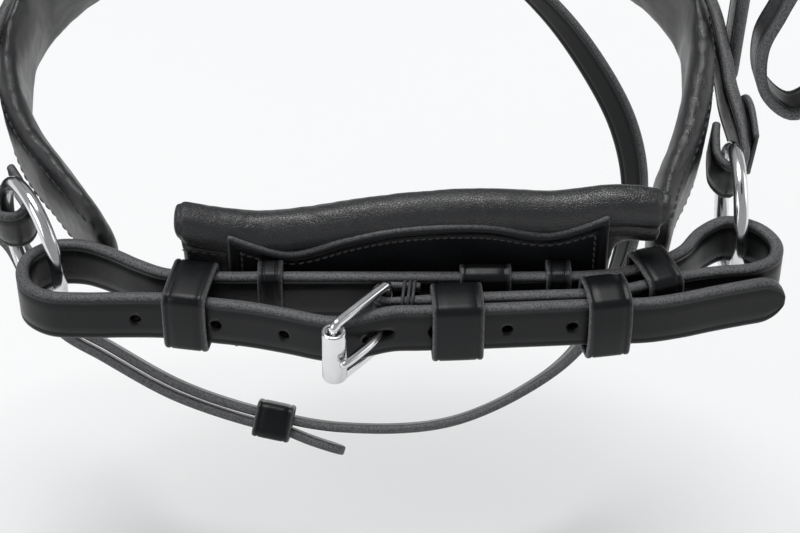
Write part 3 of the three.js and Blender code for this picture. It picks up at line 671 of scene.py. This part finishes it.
def buckle_frame(name, reach, inner, wire, space):
    """A rounded rectangle of bent wire in the plane of x and z."""
    half = (inner + wire) / 2
    r = wire * 0.62
    section = squircle(wire / 2)
    corners = [(reach - r, half - r, 0), (r, half - r, 90), (r, r - half, 180), (reach - r, r - half, 270)]
    rings = []
    for cx, cz, first in corners:
        for a in np.radians(np.linspace(first, first + 90, 9)):
            out = np.array((math.cos(a), 0, math.sin(a)))
            centre = np.array((cx, 0, cz)) + r * out
            rings.append(centre + section[:, :1] * out + section[:, 1:] * np.array((0, 1, 0)))
    return skin(name, np.array(rings), space, closed=True)


def buckle_tongue(name, reach, wire, rest, thick, space):
    """A pin with an eye bent round the buckle's bar; it lies over the front bar."""
    eye = wire * 0.76 + thick * 0.3
    points = [(eye * math.cos(a), eye * math.sin(a)) for a in np.radians(np.arange(78, 372, 14))]
    points += [(reach * 0.28, rest * 0.62 + thick * 0.2), (reach * 0.5, rest + thick * 0.32),
               (reach * 0.8, rest + thick * 0.5), (reach, rest + thick * 0.46),
               (reach + wire, rest + thick * 0.34)]
    line = Line(points)
    last = line.length - np.array([1.2, 0.7, 0.3, 0.05])
    at = np.concatenate([[0, 0.3], np.arange(0.9, line.length - 1.6, 0.7), last])
    grown = pared(thick * 0.5, thick * 0.28, 2 * math.pi * eye * 0.55, 2 * math.pi * eye * 0.95)
    rings = []
    for d, p, side, out in zip(at, *(line.frames(at)[k] for k in (0, 2, 3))):
        near = min(d, line.length - d)
        f = 0.35 + 0.65 * math.sqrt(1 - (1 - min(1, near / 1.2)) ** 2)
        section = squircle(1, 14, 2.4)
        rings.append(p + section[:, :1] * side * thick * 0.46 * f + section[:, 1:] * out * grown(d) * f)
    return skin(name, np.array(rings), space)


def roller(name, outer, inner, length, space):
    """A tube of rolled sheet with softened ends and a seam along it."""
    half = length / 2
    soft = 0.5
    end = [(inner, half - 0.2), (inner + 0.2, half), (outer - soft, half), (outer - 0.12, half - 0.18),
           (outer, half - soft)]
    profile = [*((r, -z) for r, z in end), (outer, 0), *reversed(end), (inner, 0)]
    rings = []
    angles = np.concatenate([[-3, 0, 3], np.linspace(10, 350, 48)])
    for a in angles:
        groove = 0.35 if a == 0 else 0
        c, s = math.cos(math.radians(a)), math.sin(math.radians(a))
        cut = [(r - groove if r > inner + 0.4 else r, z) for r, z in profile]
        rings.append([(r * c, r * s, z) for r, z in cut])
    return skin(name, np.array(rings), space, closed=True)


# ---- stuffed leather ----
def cad_copy(name, node):
    """A piece with the node's own solid for its mesh."""
    piece = bpy.data.objects.new(name, frame["nodes"][node].data.copy())
    bpy.context.scene.collection.objects.link(piece)
    return piece


def soften(piece, times):
    modifier = piece.modifiers.new("soften", "SMOOTH")
    modifier.iterations = times
    modifier.factor = 0.5
    bake_modifiers(piece)


def pillow_section(width, thick, count=36):
    """A flat cushion's section: full in its middle and rounded at both edges."""
    a = np.linspace(0, 2 * math.pi, count, endpoint=False)
    across, out = np.cos(a), np.sin(a)
    x = width / 2 * np.sign(across) * np.abs(across) ** 0.55
    y = thick / 2 * np.sign(out) * np.abs(out) ** 0.7
    return np.column_stack([x, y])


def pillow(name, line, width, thick, space):
    """A padded strip with half-round ends, along a line."""
    ends = width / 2 * (1 - np.sin(np.radians(np.linspace(8, 88, 14))))[::-1]
    middle = np.arange(width / 2 + 2, line.length - width / 2 - 1, 2)
    stations = np.concatenate([ends, middle, line.length - ends[::-1]])
    rings = []
    for d, p, side, out in zip(stations, *(line.frames(stations)[k] for k in (0, 2, 3))):
        near = min(d, line.length - d, width / 2)
        round_end = math.sqrt(max(0.0, 1 - (1 - near / (width / 2)) ** 2))
        section = pillow_section(width * round_end, thick * (0.35 + 0.65 * min(1, near / 5) ** 0.5))
        rings.append(p + section[:, :1] * side + section[:, 1:] * out)
    return skin(name, np.array(rings), space)


def puffed(piece, voxel, inset, cap, refine):
    """The piece as a stuffed skin, swollen by a cloth simulation with air inside."""
    remesh = piece.modifiers.new("even", "REMESH")
    remesh.mode = "VOXEL"
    remesh.voxel_size = voxel * MM
    bake_modifiers(piece)
    soften(piece, 4)
    start = coordinates(piece) - inset * MM * normals(piece)
    move_points(piece, start)
    cloth = piece.modifiers.new("air", "CLOTH")
    cloth.settings.use_pressure = True
    cloth.settings.uniform_pressure_force = 4
    cloth.settings.quality = 5
    cloth.settings.effector_weights.gravity = 0
    cloth.collision_settings.use_collision = False
    for at in range(1, 21):
        bpy.context.scene.frame_set(at)
    bake_modifiers(piece)
    bpy.context.scene.frame_set(1)
    moved = coordinates(piece) - start
    far = np.linalg.norm(moved, axis=1)[:, None]
    moved *= np.minimum(1, cap * MM / np.maximum(far, 1e-9))
    move_points(piece, start + moved)
    soften(piece, 3)
    subdivide(piece, refine)
    return piece


def subdivide(piece, levels):
    modifier = piece.modifiers.new("fine", "SUBSURF")
    modifier.levels = levels
    modifier.render_levels = levels
    bake_modifiers(piece)


def ripple(points, size, seed):
    """Smooth noise between about -1 and 1 at each point, with features of that size in metres."""
    offset = Vector((seed, 0, 0))
    return np.array([noise.noise(Vector(p) / size + offset) for p in points])


def make_uneven(piece, *waves):
    """Moves the surface a little in and out. Each wave is a height in millimetres, a size and a seed."""
    points = coordinates(piece)
    push = sum(height * ripple(points, size, seed) for height, size, seed in waves)
    move_points(piece, points + normals(piece) * (push * MM)[:, None])


# ---- chin strap ----
BAR = (-3.5, -5)
CHIN_LINE = Line([
    (6, -1.9), (0, -1.6), (-3.5, -1.6), (-6.1, -2.5), (-7, -5), (-6.1, -7.5), (-3.5, -8.4), (0, -8.3),
    (8, -7.7), (20, -6.9), (40, -5.8), (54, -5), (66, -2.9), (75, 0.2), (84, 3.2), (94, 5.2), (104, 6.6),
    (110.6, 11), (112, 18), (107.5, 25.6), (98.5, 28.6), (90.5, 23.5), (84, 14.6), (75, 8.4), (66, 4.8),
    (56, 3.1), (40, 2.6), (0, 2.6), (-40, 2.6), (-56, 2.7), (-69, 4.2), (-77, 8), (-86, 13.6), (-95, 17.4),
    (-103.5, 17), (-109.6, 12), (-111, 6), (-109, -1), (-102.5, -5.8), (-92, -6.8), (-80, -6.6),
    (-68, -6.9), (-54, -9.1), (-44, -10.8), (-33, -13.6), (-21, -17), (-15, -17), (-8, -14.4), (-2, -12.7),
    (6, -12.4), (20, -11.8), (40, -10.6), (58, -9.5), (72, -8.9), (82, -6.8), (92, -3.8), (103, -0.8),
    (113, 1.6),
])
CHIN_HOLES = [(-77, -6.6, 0), (-53.2, -9.2, -9), (-33, -13.6, -15), (9.8, -12.3, 2), (31, -11.2, 3),
              (50, -10, 3)]
TONGUE_SLOT = (-6.7, -14.25, 17)


def chin_strap():
    grow = pared(STRAP[1], FOLD, 22, 36)
    cuts = [pin_tool(x, y, angle, CHIN) for x, y, angle in CHIN_HOLES]
    cuts.append(pin_tool(*TONGUE_SLOT, CHIN, 1.9, 6.4, 5))
    cuts.append(box_tool(BAR[0] - 0.1, BAR[1], 9, 10.6, 3.6, CHIN))
    strap("chin_strap", CHIN_LINE, STRAP, CHIN, cuts, tip=True, thickness=lambda d, left: grow(d), step=1.1)
    chape_wraps()


WRAPS = (0.4, 2.0, 3.3)  # thread that binds the folded end beside the buckle, places along it


def chape_wraps():
    """Thread taken over the fold's upper edge three times, behind the buckle's bar."""
    half = STRAP[0] / 2
    round_section = squircle(0.5, 8, 2)
    loops = []
    for x in WRAPS:
        outer, inner = np.interp(x, (-4, 8), (-10, -9.4)), -0.5
        path = Line([(x, outer + 0.9, half - 4.6), (x, outer, half - 3.6), (x + 0.2, outer, half - 0.8),
                     (x + 0.4, outer + 1.2, half + 0.45), (x + 0.7, -5, half + 0.6),
                     (x + 1, inner - 1.2, half + 0.45), (x + 1.2, inner, half - 0.8),
                     (x + 1.4, inner, half - 3.4)], (1, 0, 0))
        place, _, side, out = path.frames(np.arange(0, path.length, 0.5))
        rings = [p + round_section[:, :1] * a + round_section[:, 1:] * b for p, a, b in zip(place, side, out)]
        loops.append(skin("wrap", np.array(rings), CHIN))
    added(merged("chin_strap_wraps", loops), "chin_strap", THREAD)


CHIN_KEEPERS = {
    "keeper_left_loop": (13, -8.4, 8.1, 8.6, 1.8, -61, -2.1, -9.5),
    "keeper_main": (15, -2.4, 2.4, 8.6, 1.4, 25, 2.6, 0),
    "keeper_buckle": (15, -5.6, 5.3, 8.6, 1.8, 16.5, -9.5, 3),
    "keeper_sliding": (13, -6.4, 5.3, 9.4, 1.6, 59.5, -6.4, 9),
    "keeper_right_loop": (11, -7, 7.7, 8.6, 1.8, 75, 4.5, 19),
}


def chin_keepers():
    for node, (length, y0, y1, half_z, wall, x, y, angle) in CHIN_KEEPERS.items():
        space = CHIN @ shift(x, y) @ turn("Z", angle)
        slack = 0.8 if node == "keeper_sliding" else 0.3
        strap_loop(node, length, y0, y1, half_z, space, wall, slack)


def chin_buckle():
    space = CHIN @ shift(*BAR) @ turn("Z", 230.5)
    finished(buckle_frame("chin_buckle_wire", 24, 18.4, 2.8, space), "chin_buckle_frame", STEEL)
    tube = roller("chin_roller_tube", 3.6, 2.3, 17.6, space @ shift(24, 0) @ turn("Z", 150))
    finished(tube, "chin_buckle_roller", STEEL)
    pin = buckle_tongue("chin_tongue_pin", 24, 2.8, 3.95, 2.7, space)
    finished(pin, "chin_buckle_tongue", STEEL)


# ---- chin pad and overlay ----
ROLL_LINE = Line(upright([(-67, 19.1), (-41, 15.3), (0, 21.9), (26, 24), (43, 22.9), (67, 25.7), (79, 22.7)]))
ROLL_RADIUS = 6
ROLL_Y = 15.2
PAD_ENDS = (-67, 79)


def chin_pad():
    piece = puffed(cad_copy("chin_pad_cover", "chin_pad"), 1.8, 0.2, 1.0, 2)
    points = coordinates(piece)
    out = normals(piece)
    local = in_space(points, CHIN.inverted())
    x, y, z = local.T
    roll_z = np.interp(x, ROLL_LINE.points[:, 0], ROLL_LINE.points[:, 2])
    on_roll = np.clip((z - roll_z + ROLL_RADIUS) / 2, 0, 1)
    seam = np.exp(-(((z - roll_z + ROLL_RADIUS - 0.4) / 0.9) ** 2)) * (y < 13)
    from_end = np.minimum(x - PAD_ENDS[0], PAD_ENDS[1] - x)
    gathered = np.exp(-((from_end - 2.4) / 0.9) ** 2) * on_roll
    angle = np.arctan2(z - roll_z, y - ROLL_Y)
    pleats = np.sin(8 * angle + 3 * ripple(points, 0.01, 4)) * np.exp(-((from_end - 4) / 4) ** 2) * on_roll
    wrinkles = ripple(points * np.array((1, 0.5, 0.5)), 0.0032, 1) * (0.35 + 0.65 * on_roll)
    waves = ripple(points, 0.014, 2)
    push = 0.13 * wrinkles + 0.2 * waves * on_roll + 0.12 * pleats - 0.95 * seam - 0.5 * gathered
    points = points + out * (push * MM)[:, None]
    under = (local[:, 1] < 9.6) & (on_roll < 0.5)
    points[under, 1] = np.maximum(points[under, 1], (CHIN @ Vector((0, 9, 0))).y)
    move_points(piece, points)
    finished(piece, "chin_pad", SOFT)
    at = np.arange(4, ROLL_LINE.length - 4, 2.8)
    place, along, wide, _ = ROLL_LINE.frames(at)
    place = place + np.array((0, 9.05, -ROLL_RADIUS - 0.9))
    out = np.tile((0.0, -1.0, 0.0), (len(at), 1))
    thread = stitches("chin_pad_seam_thread", place, along, wide, out, CHIN, 2.6, 0.2)
    added(thread, "chin_pad", THREAD)


OVERLAY_FRONT, OVERLAY_BACK = 6.9, 8.7
OVERLAY_TOP = [(-50.5, 17.9), (-42, 14), (-32, 11.4), (-16, 16.6), (0, 20.4), (25, 21.6), (43, 18.6),
               (52, 21.2), (61, 25.4)]
TABS = (-38, 46.4)
BEAD = 1.5  # the rolled rim's middle, in from the edge
STITCH_INSET = 4.1


def overlay_outline(count):
    """Even points round the overlay as (x, z), and the outward direction at each."""
    top = smooth(OVERLAY_TOP)[:, :2]
    bottom = smooth([(x, -z - (8 if x < -40 else 2)) for x, z in OVERLAY_TOP])[:, :2][::-1]
    loop = np.vstack([top, bottom, top[:1]])
    at = np.concatenate([[0], np.cumsum(np.linalg.norm(np.diff(loop, axis=0), axis=1))])
    even = np.linspace(0, at[-1], count, endpoint=False)
    line = np.column_stack([np.interp(even, at, loop[:, k]) for k in (0, 1)])
    for _ in range(3):
        line = (np.roll(line, 1, axis=0) + 2 * line + np.roll(line, -1, axis=0)) / 4
    along = unit(np.roll(line, -1, axis=0) - np.roll(line, 1, axis=0))
    return line, along, np.column_stack([-along[:, 1], along[:, 0]])


def overlay_relief(inset):
    """How far the face stands out at a distance in from the edge: a rolled rim, then a groove."""
    rim = 0.75 * math.exp(-(((inset - BEAD) / 1.0) ** 2))
    groove = -0.35 * math.exp(-(((inset - 3.1) / 0.5) ** 2))
    return rim + groove


RIM_INSETS = (0.15, 0.45, 0.9, 1.5, 2.1, 2.6, 3.1, 3.6)  # rings of points that carry the rim's relief
PLATE_STEP = 0.9


def inset_of(points, line):
    """How far in from the outline each point is."""
    return np.array([np.min(np.linalg.norm(line - p, axis=1)) for p in points])


def plate_face(line, out):
    """Flat points and triangles that fill the outline, close together along the rim."""
    edge = line - 0.02 * out
    low, high = line.min(axis=0), line.max(axis=0)
    across, up = np.meshgrid(*(np.arange(low[k], high[k], PLATE_STEP) for k in (0, 1)))
    spread = np.column_stack([across.ravel(), up.ravel()])
    loose = [spread[inset_of(spread, line) > 4.1]]
    for inset in reversed(RIM_INSETS):
        ring_points = edge - inset * out
        loose.insert(0, ring_points[inset_of(ring_points, line) > inset - 0.06])
    points = [Vector(p) for p in np.vstack([edge, *loose])]
    found = delaunay_2d_cdt(points, [], [list(range(len(edge)))], 1, 1e-5)
    return np.array([tuple(v) for v in found[0]]), [tuple(f) for f in found[2]]


def overlay_plate():
    """A leather plate cut to the outline, with its relief set by the distance in from the edge."""
    line, _, out = overlay_outline(420)
    flat, faces = plate_face(line, out)
    insets = inset_of(flat, line)
    points = []
    for (x, z), inset in zip(flat, insets):
        drop = 0.9 * max(0, 1 - inset / 0.6) ** 2
        points.append((x, OVERLAY_FRONT + 0.6 - overlay_relief(inset) + drop, z))
    sides = dict.fromkeys((a, b) for face in faces for a, b in zip(face, (*face[1:], face[0])))
    following = {a: b for a, b in sides if (b, a) not in sides}
    back_of = {a: len(points) + k for k, a in enumerate(following)}
    points += [(flat[a][0], OVERLAY_BACK, flat[a][1]) for a in following]
    around = [next(iter(following))]
    while following[around[-1]] != around[0]:
        around.append(following[around[-1]])
    walls = [(b, a, back_of[a], back_of[b]) for a, b in following.items()]
    back = tuple(back_of[a] for a in reversed(around))
    plate = new_object("overlay_plate", in_space(points, CHIN), [*faces, *walls, back])
    face_out(plate)
    mark_edges(plate, [max(0.0, 1 - inset / 0.7) for inset in insets] + [1.0] * len(following))
    return plate


def chin_overlay():
    line, _, _ = overlay_outline(420)
    parts = [overlay_plate()]
    for x in TABS:
        tab = keeper("overlay_tab", 7.4, -2.5, OVERLAY_FRONT - 2.4, 8.6, CHIN @ shift(x, 2.6), 1.3, 0.1)
        parts.append(tab)
    edges = [attribute_of(p) for p in parts]
    piece = merged("chin_overlay_leather", parts)
    mark_edges(piece, np.concatenate(edges))
    finished(piece, "chin_overlay", BRIDLE)
    row, row_along, row_out = overlay_outline(150)
    row = row - STITCH_INSET * row_out
    keep = np.array([np.min(np.linalg.norm(line - p, axis=1)) > STITCH_INSET - 0.25 for p in row])
    row, row_along, row_out = row[keep], row_along[keep], row_out[keep]

    def lifted(plane, y):
        return np.column_stack([plane[:, 0], np.full(len(plane), y), plane[:, 1]])

    face = np.tile((0.0, -1.0, 0.0), (len(row), 1))
    thread = stitches("chin_overlay_thread", lifted(row, OVERLAY_FRONT + 0.55), lifted(row_along, 0),
                      lifted(row_out, 0), face, CHIN, 2.2, 0.3)
    added(thread, "chin_overlay", THREAD)


def attribute_of(piece):
    """The piece's cut-edge values, or zeros for one that has none."""
    found = piece.data.attributes.get("edge")
    values = np.full(len(piece.data.vertices), 0.0)
    if found:
        found.data.foreach_get("value", values)
    return values


# ---- noseband ----
LINING = (38, 8)
LINING_LINE = Line([
    (-84, 21.4), (-94, 34), (-105, 47.8), (-115.5, 61.6), (-121.5, 76.4), (-122.8, 93.3), (-117, 116.6),
    (-95, 139.8), (-60, 155.7), (-12, 161), (36, 155.7), (72, 139.8), (92, 116.6), (96, 95.4), (93, 76.4),
    (88.5, 59.4), (80, 38.3), (75, 19),
])
NASAL_LINE = Line([
    (-119.6, 51), (-115.8, 44.8), (-113.2, 38), (-115.2, 33.6), (-120.4, 33.2), (-125.2, 38.4), (-129, 46),
    (-130.8, 56), (-131, 72), (-129.8, 93), (-123.2, 119.4), (-99, 145), (-62, 161.9), (-12, 167.6),
    (38, 161.9), (76, 145), (98.2, 119.4), (102.8, 96.4), (103.8, 82), (105.8, 70), (106.4, 61),
    (106, 54.4), (102, 50.6), (98, 54.4), (97.6, 61), (98.2, 67),
])
NASAL_OVERLAYS = {
    "nasal_overlay_left": [(-134.4, 58), (-134.6, 70), (-134.1, 82)],
    "nasal_overlay_right": [(109.8, 60), (109.4, 70), (108, 81)],
}
NOSE_FACE = 167.6 + NASAL[1] / 2
FLASH_LOOP = [(1.5, 7), (1.5, -10), (-1.4, -20), (-5.8, -27), (-6.2, -34), (-1.5, -40.8), (5, -41.2),
              (9.2, -36), (8.8, -28), (6.2, -20), (4.3, -10), (4.3, 7)]
NOSEBAND_RINGS = {"ring_left": (-111, 25, 120.5), "ring_right": (102, 41, 90)}


def noseband_rings():
    for node, (x, y, along) in NOSEBAND_RINGS.items():
        space = CHIN @ shift(x, y) @ turn("Z", along) @ turn("X", 90)
        finished(ring(node + "_steel", NOSEBAND_RING_RADIUS, WIRE, space), node, STEEL)


def nasal_lining():
    start = pillow("nasal_lining_cover", LINING_LINE, *LINING, NASAL_SPACE)
    piece = puffed(start, 2.4, 0.6, 1.6, 2)
    make_uneven(piece, (0.12, 0.004, 5), (0.3, 0.02, 6))
    finished(piece, "nasal_lining", SOFT)
    rows = [(w, LINING[1] / 2 - 0.1) for w in (-12.5, 12.5)]
    end = LINING_LINE.length - 8
    thread = stitch_rows("nasal_lining_thread", LINING_LINE, rows, NASAL_SPACE, 8, end, -1, 3.2, piece=piece)
    added(thread, "nasal_lining", THREAD)


def nasal_strap():
    grow = pared(NASAL[1], FOLD, 30, 42)
    strap("nasal_strap", NASAL_LINE, NASAL, NASAL_SPACE, thickness=lambda d, left: grow(min(d, left)))
    rows = [(w, NASAL[1] / 2) for w in (-6.2, 6.2)]
    thread = stitch_rows("nasal_strap_thread", NASAL_LINE, rows, NASAL_SPACE, 62, NASAL_LINE.length - 50, -1)
    added(thread, "nasal_strap", THREAD)
    for node, points in NASAL_OVERLAYS.items():
        strap(node, Line(points), (22, 1.8), NASAL_SPACE, tip=True, step=1)
    line = Line([(CENTRE_X, NOSE_FACE + x, y) for x, y in FLASH_LOOP], (1, 0, 0))
    strap("flash_loop", line, (18, 2.2), NASAL_SPACE, step=1)


# ---- small buckles, and straps folded round a bar ----
SMALL_REACH, SMALL_WIRE = 17, 2.6
CHAPE = [(11, -2.2), (3, -3.1), (-1.6, -2.7), (-3.1, 0), (-1.6, 2.7), (3, 3.1), (16, 1.6)]
OVER_BUCKLE = [(-30, 4.2), (-16, 4.1), (0, 6.4), (16, 5.3)]


def eye_slot(space):
    return box_tool(0.2, 0, 7.4, 10, 3, space)


def pin_slot(space):
    return pin_tool(-5.8, 5.7, 6, space, 1.5, 9)


def small_buckle(prefix, strap_width, space):
    """space is the strap's own: x along its free end, y outward, at the buckle's bar."""
    own = space @ turn("Z", 180 - 28)
    frame_piece = buckle_frame(prefix + "_buckle_wire", SMALL_REACH, strap_width + 1.6, SMALL_WIRE, own)
    finished(frame_piece, prefix + "_buckle_frame", STEEL)
    rest = SMALL_WIRE / 2 + 0.35
    pin = buckle_tongue(prefix + "_tongue_pin", SMALL_REACH, SMALL_WIRE, rest, 2.2, own @ turn("X", 180))
    finished(pin, prefix + "_buckle_tongue", STEEL)


def ring_fold(sign, reach, half, meet, tail):
    """A strap round a ring's wire at (0, 0): its short tail inside and its long part outside."""
    leg = [(meet, -tail), (meet, -16), (half, -2), (half * 0.8, reach * 0.75)]
    return [*((-sign * x, y) for x, y in leg), (0, reach), *((sign * x, y) for x, y in reversed(leg))]


# ---- flash strap ----
FLASH_BAR = (-146, -84, -62)


def near_flash_bar(along, out):
    c, s = math.cos(math.radians(FLASH_BAR[2])), math.sin(math.radians(FLASH_BAR[2]))
    return (FLASH_BAR[0] + along * c + out * s, FLASH_BAR[1] + along * s - out * c)


FLASH_POINTS = [
    *(near_flash_bar(*p) for p in CHAPE),
    (-132.5, -105.1), (-124.6, -120), (-115.6, -133), (-101, -141.7), (-77, -155), (-51.5, -163.8),
    (-21, -169.8), (17.5, -167.9), (49, -153.3), (63.9, -139.8), (75.2, -118.1), (80.9, -97.5), (81.9, -82.1),
    (77.8, -63.5), (67, -42.9), (52, -23.3), (35, -9.1), (14, -2.1), (-12, 0), (-60, -1.1), (-108, -6.6),
    (-142, -17.6), (-159, -39.6),
    *(near_flash_bar(*p) for p in OVER_BUCKLE),
    (-136.1, -107.1), (-128, -122.2), (-118.4, -136), (-102.9, -145.4), (-78.6, -158.7), (-52.5, -167.7),
    (-43, -169.7), (-31, -174.4), (-19.3, -178.2),
]


def flash_across(share):
    """The strap twists on its far side, round two fifths of its length."""
    near = 1 - min(1, abs(share - 0.42) / 0.16)
    angle = math.radians(45) * near * near * (3 - 2 * near)
    lean = np.array((1, 0.4, 0)) / math.hypot(1, 0.4)
    return math.cos(angle) * np.array((0, 0, 1)) + math.sin(angle) * lean


def flash_strap():
    line = Line(FLASH_POINTS, flash_across)
    grow = pared(FLASH[1], PARED, 25, 35)
    bar = FLASH_SPACE @ shift(FLASH_BAR[0], FLASH_BAR[1]) @ turn("Z", FLASH_BAR[2]) @ turn("X", 180)
    cuts = [eye_slot(bar), pin_slot(bar)]
    strap("flash_strap", line, FLASH, FLASH_SPACE, cuts, tip=True, thickness=lambda d, left: grow(d))
    small_buckle("flash", FLASH[0], bar)
    space = FLASH_SPACE @ shift(-44, -167.5) @ turn("Z", -12)
    strap_loop("flash_keeper", 13, -4.7, 4.7, FLASH[0] / 2 + 0.6, space, 1.6)


# ---- cheeks ----
Y_ACROSS = (0, 1, 0)


def cheek(side):
    sign = SIGN[side]
    fold = [(x, z - UPPER_RING_RADIUS) for x, z in ring_fold(sign, 6.6, 4.5, 1.95, 36)]
    x = sign * 1.95
    line = Line(upright([*fold, (x, -120), (x, -200), (x, -284)]), Y_ACROSS)
    space = at_upper_ring(side, CHEEK_LEAN)
    strap("cheek_strap_" + side, line, CHEEK, space, tip=True)
    node = "upper_ring_" + side
    steel = ring(node + "_steel", UPPER_RING_RADIUS, WIRE, at_upper_ring(side) @ turn("Y", 90))
    finished(steel, node, STEEL)


BIT_BAR = (9.8, -62)
DEE_DROP = 20
BIT_CHAPE = [(-0.3, 27), (-0.3, 14), (2.6, 5), (3.3, 0), (2.3, -2.5), (0, -3.5), (-2.3, -2.5), (-3.3, 0),
             (-3.3, 6), (-3.3, 14), (-3.3, 28)]
BIT_LINE = [(-2, -40), (-2, -14), (-3.8, -2), (-2.8, 3), (0, 4.2), (2.8, 3), (3.8, -2), (1.7, -14),
            (1.7, -40), (-1, -80), (-1.6, -110), (2.4, -122), (6.2, -133), (4.6, -146), (-4, -153),
            (-12.6, -146), (-14.2, -133), (-10, -122), (-5.6, -110), (-5.2, -86)]


def bit_hanger(side):
    sign = SIGN[side]
    space = at_upper_ring(side, BIT_LEAN) @ shift(sign * BIT_BAR[0], 0, BIT_BAR[1])
    chape = Line(upright([(sign * x, z) for x, z in BIT_CHAPE]), Y_ACROSS)
    strap("bit_chape_" + side, chape, (BIT[0], PARED), space, step=1)
    dee_space = space @ facing((0, 0, -1), (-1, 0, 0), (0, 1, 0))
    dee = buckle_frame("bit_dee_" + side + "_steel", DEE_DROP, 15.6, 2.8, dee_space)
    finished(dee, "bit_dee_" + side, STEEL)
    low = space @ shift(0, 0, -DEE_DROP)
    line = Line(upright([(sign * x, z) for x, z in BIT_LINE]), Y_ACROSS)
    strap("bit_strap_" + side, line, BIT, low)
    band_space = low @ shift(-sign * 3.3, 0, -102) @ facing((0, 0, 1), (sign, 0, 0), (0, sign, 0))
    strap_loop("bit_keeper_" + side, 11, -4.2, 4.2, BIT[0] / 2 + 0.6, band_space, 1.6)


# ---- throat strap ----
THROAT_BAR = (RING_X["left"] + 0.2, -68)


def throat():
    bar_x, bar_y = THROAT_BAR

    def near_bar(along, out):
        return (bar_x - out, bar_y + along)

    def fold(side):
        shape = ring_fold(SIGN[side], 5.6, 4.3, 1.8, 20)
        return [(RING_X[side] + x, y - UPPER_RING_RADIUS) for x, y in shape]

    short = Line([*fold("left")[:-1], *(near_bar(*p) for p in reversed(CHAPE))])
    long = Line([
        *fold("right"), (106, -72), (103, -104), (88, -138), (48, -162), (CENTRE_X, -169), (-74, -162),
        (-113, -138), (-131, -110), *(near_bar(*p) for p in OVER_BUCKLE[1:]), near_bar(25, 5.3),
    ])
    bar = THROAT_SPACE @ shift(bar_x, bar_y) @ turn("Z", 90)
    grow = pared(THROAT[1], PARED, 25, 35)
    piece = ribbon("throat_long_leather", long, THROAT, THROAT_SPACE, tip=True)
    cut_out(piece, [pin_slot(bar)])
    finished(piece, "throat_long_strap", BRIDLE)
    piece = ribbon("throat_short_leather", short, THROAT, THROAT_SPACE, thickness=lambda d, left: grow(left))
    cut_out(piece, [eye_slot(bar)])
    finished(piece, "throat_short_strap", BRIDLE)
    small_buckle("throat", THROAT[0], bar)
    x, y = near_bar(16, 3.4)
    space = THROAT_SPACE @ shift(x, y) @ turn("Z", 90)
    strap_loop("throat_keeper", 9, -3.9, 3.9, THROAT[0] / 2 + 0.6, space, 1.5)


# ---- crown ----
CROWN_BAR = (1.5, 62)
CROWN_TOP = CHIN_BELOW_CROWN + CROWN_PAD + GAP + CROWN_THICK / 2
CROWN_ARC = [(1, 396), (0.97, 408), (0.86, 431), (0.62, 452), (0.32, 463.5)]


def near_crown_bar(side, along, out):
    return (RING_X[side] + SIGN[side] * (out - CROWN_BAR[0]), RING_LEVEL + CROWN_BAR[1] + along)


def standing(side):
    x, z = near_crown_bar(side, 0, 0)
    return CROWN_SPACE @ shift(x, 0, z) @ facing((0, 0, 1), (SIGN[side], 0, 0), (0, SIGN[side], 0))


def crown():
    middle = (RING_X["left"] + RING_X["right"]) / 2
    half = (RING_X["right"] - RING_X["left"]) / 2
    left = [(middle - x * half, z) for x, z in CROWN_ARC]
    right = [(middle + x * half, z) for x, z in reversed(CROWN_ARC)]
    line = Line(upright([
        *(near_crown_bar("left", *p) for p in CHAPE), *left, (middle, CROWN_TOP), *right,
        *(near_crown_bar("right", *p) for p in reversed(CHAPE)),
    ]), Y_ACROSS)
    grow = pared(3.4, PARED, 25, 35)
    widen = pared(CROWN_WIDE, CROWN_NARROW, 80, 120)
    cuts = [eye_slot(standing(side)) for side in SIGN]
    strap("crown_strap", line, (CROWN_WIDE, CROWN_THICK), CROWN_SPACE, cuts, step=2,
          thickness=lambda d, left: grow(min(d, left)), width=lambda d, left: widen(min(d, left)))
    pad = puffed(cad_copy("crown_pad_cover", "crown_pad"), 3.0, 0.6, 2.0, 1)
    make_uneven(pad, (0.3, 0.02, 7), (0.15, 0.005, 8))
    finished(pad, "crown_pad", SOFT)


def crown_side(side):
    sign = SIGN[side]
    shape = ring_fold(sign, 6.6, 4.5, 1.95, 27)[:-1]
    fold = [(RING_X[side] + x, RING_LEVEL + UPPER_RING_RADIUS - z) for x, z in shape]
    over = [near_crown_bar(side, at, out + (-0.35 if at < 0 else 0.6)) for at, out in OVER_BUCKLE[1:]]
    line = Line(upright([*fold, *over, near_crown_bar(side, 46, 5.9)]), Y_ACROSS)
    strap("crown_billet_" + side, line, CHEEK, CROWN_SPACE, [pin_slot(standing(side))], tip=True)
    small_buckle("crown_" + side, CHEEK[0], standing(side))
    for k, level in enumerate(("lower", "upper")):
        x, z = near_crown_bar(side, 17 + 16 * k, 3.8)
        space = CROWN_SPACE @ shift(x, 0, z) @ facing((0, 0, 1), (sign, 0, 0), (0, sign, 0))
        node = "crown_keeper_" + side + "_" + level
        strap_loop(node, 9, -4.6, 4.6, CHEEK[0] / 2 + 0.6, space, 1.5)


# ---- everything ----
add_camera()
add_studio()
chin_strap()
chin_keepers()
chin_buckle()
chin_pad()
chin_overlay()
noseband_rings()
nasal_lining()
nasal_strap()
flash_strap()
for each in SIGN:
    cheek(each)
    bit_hanger(each)
    crown_side(each)
throat()
crown()
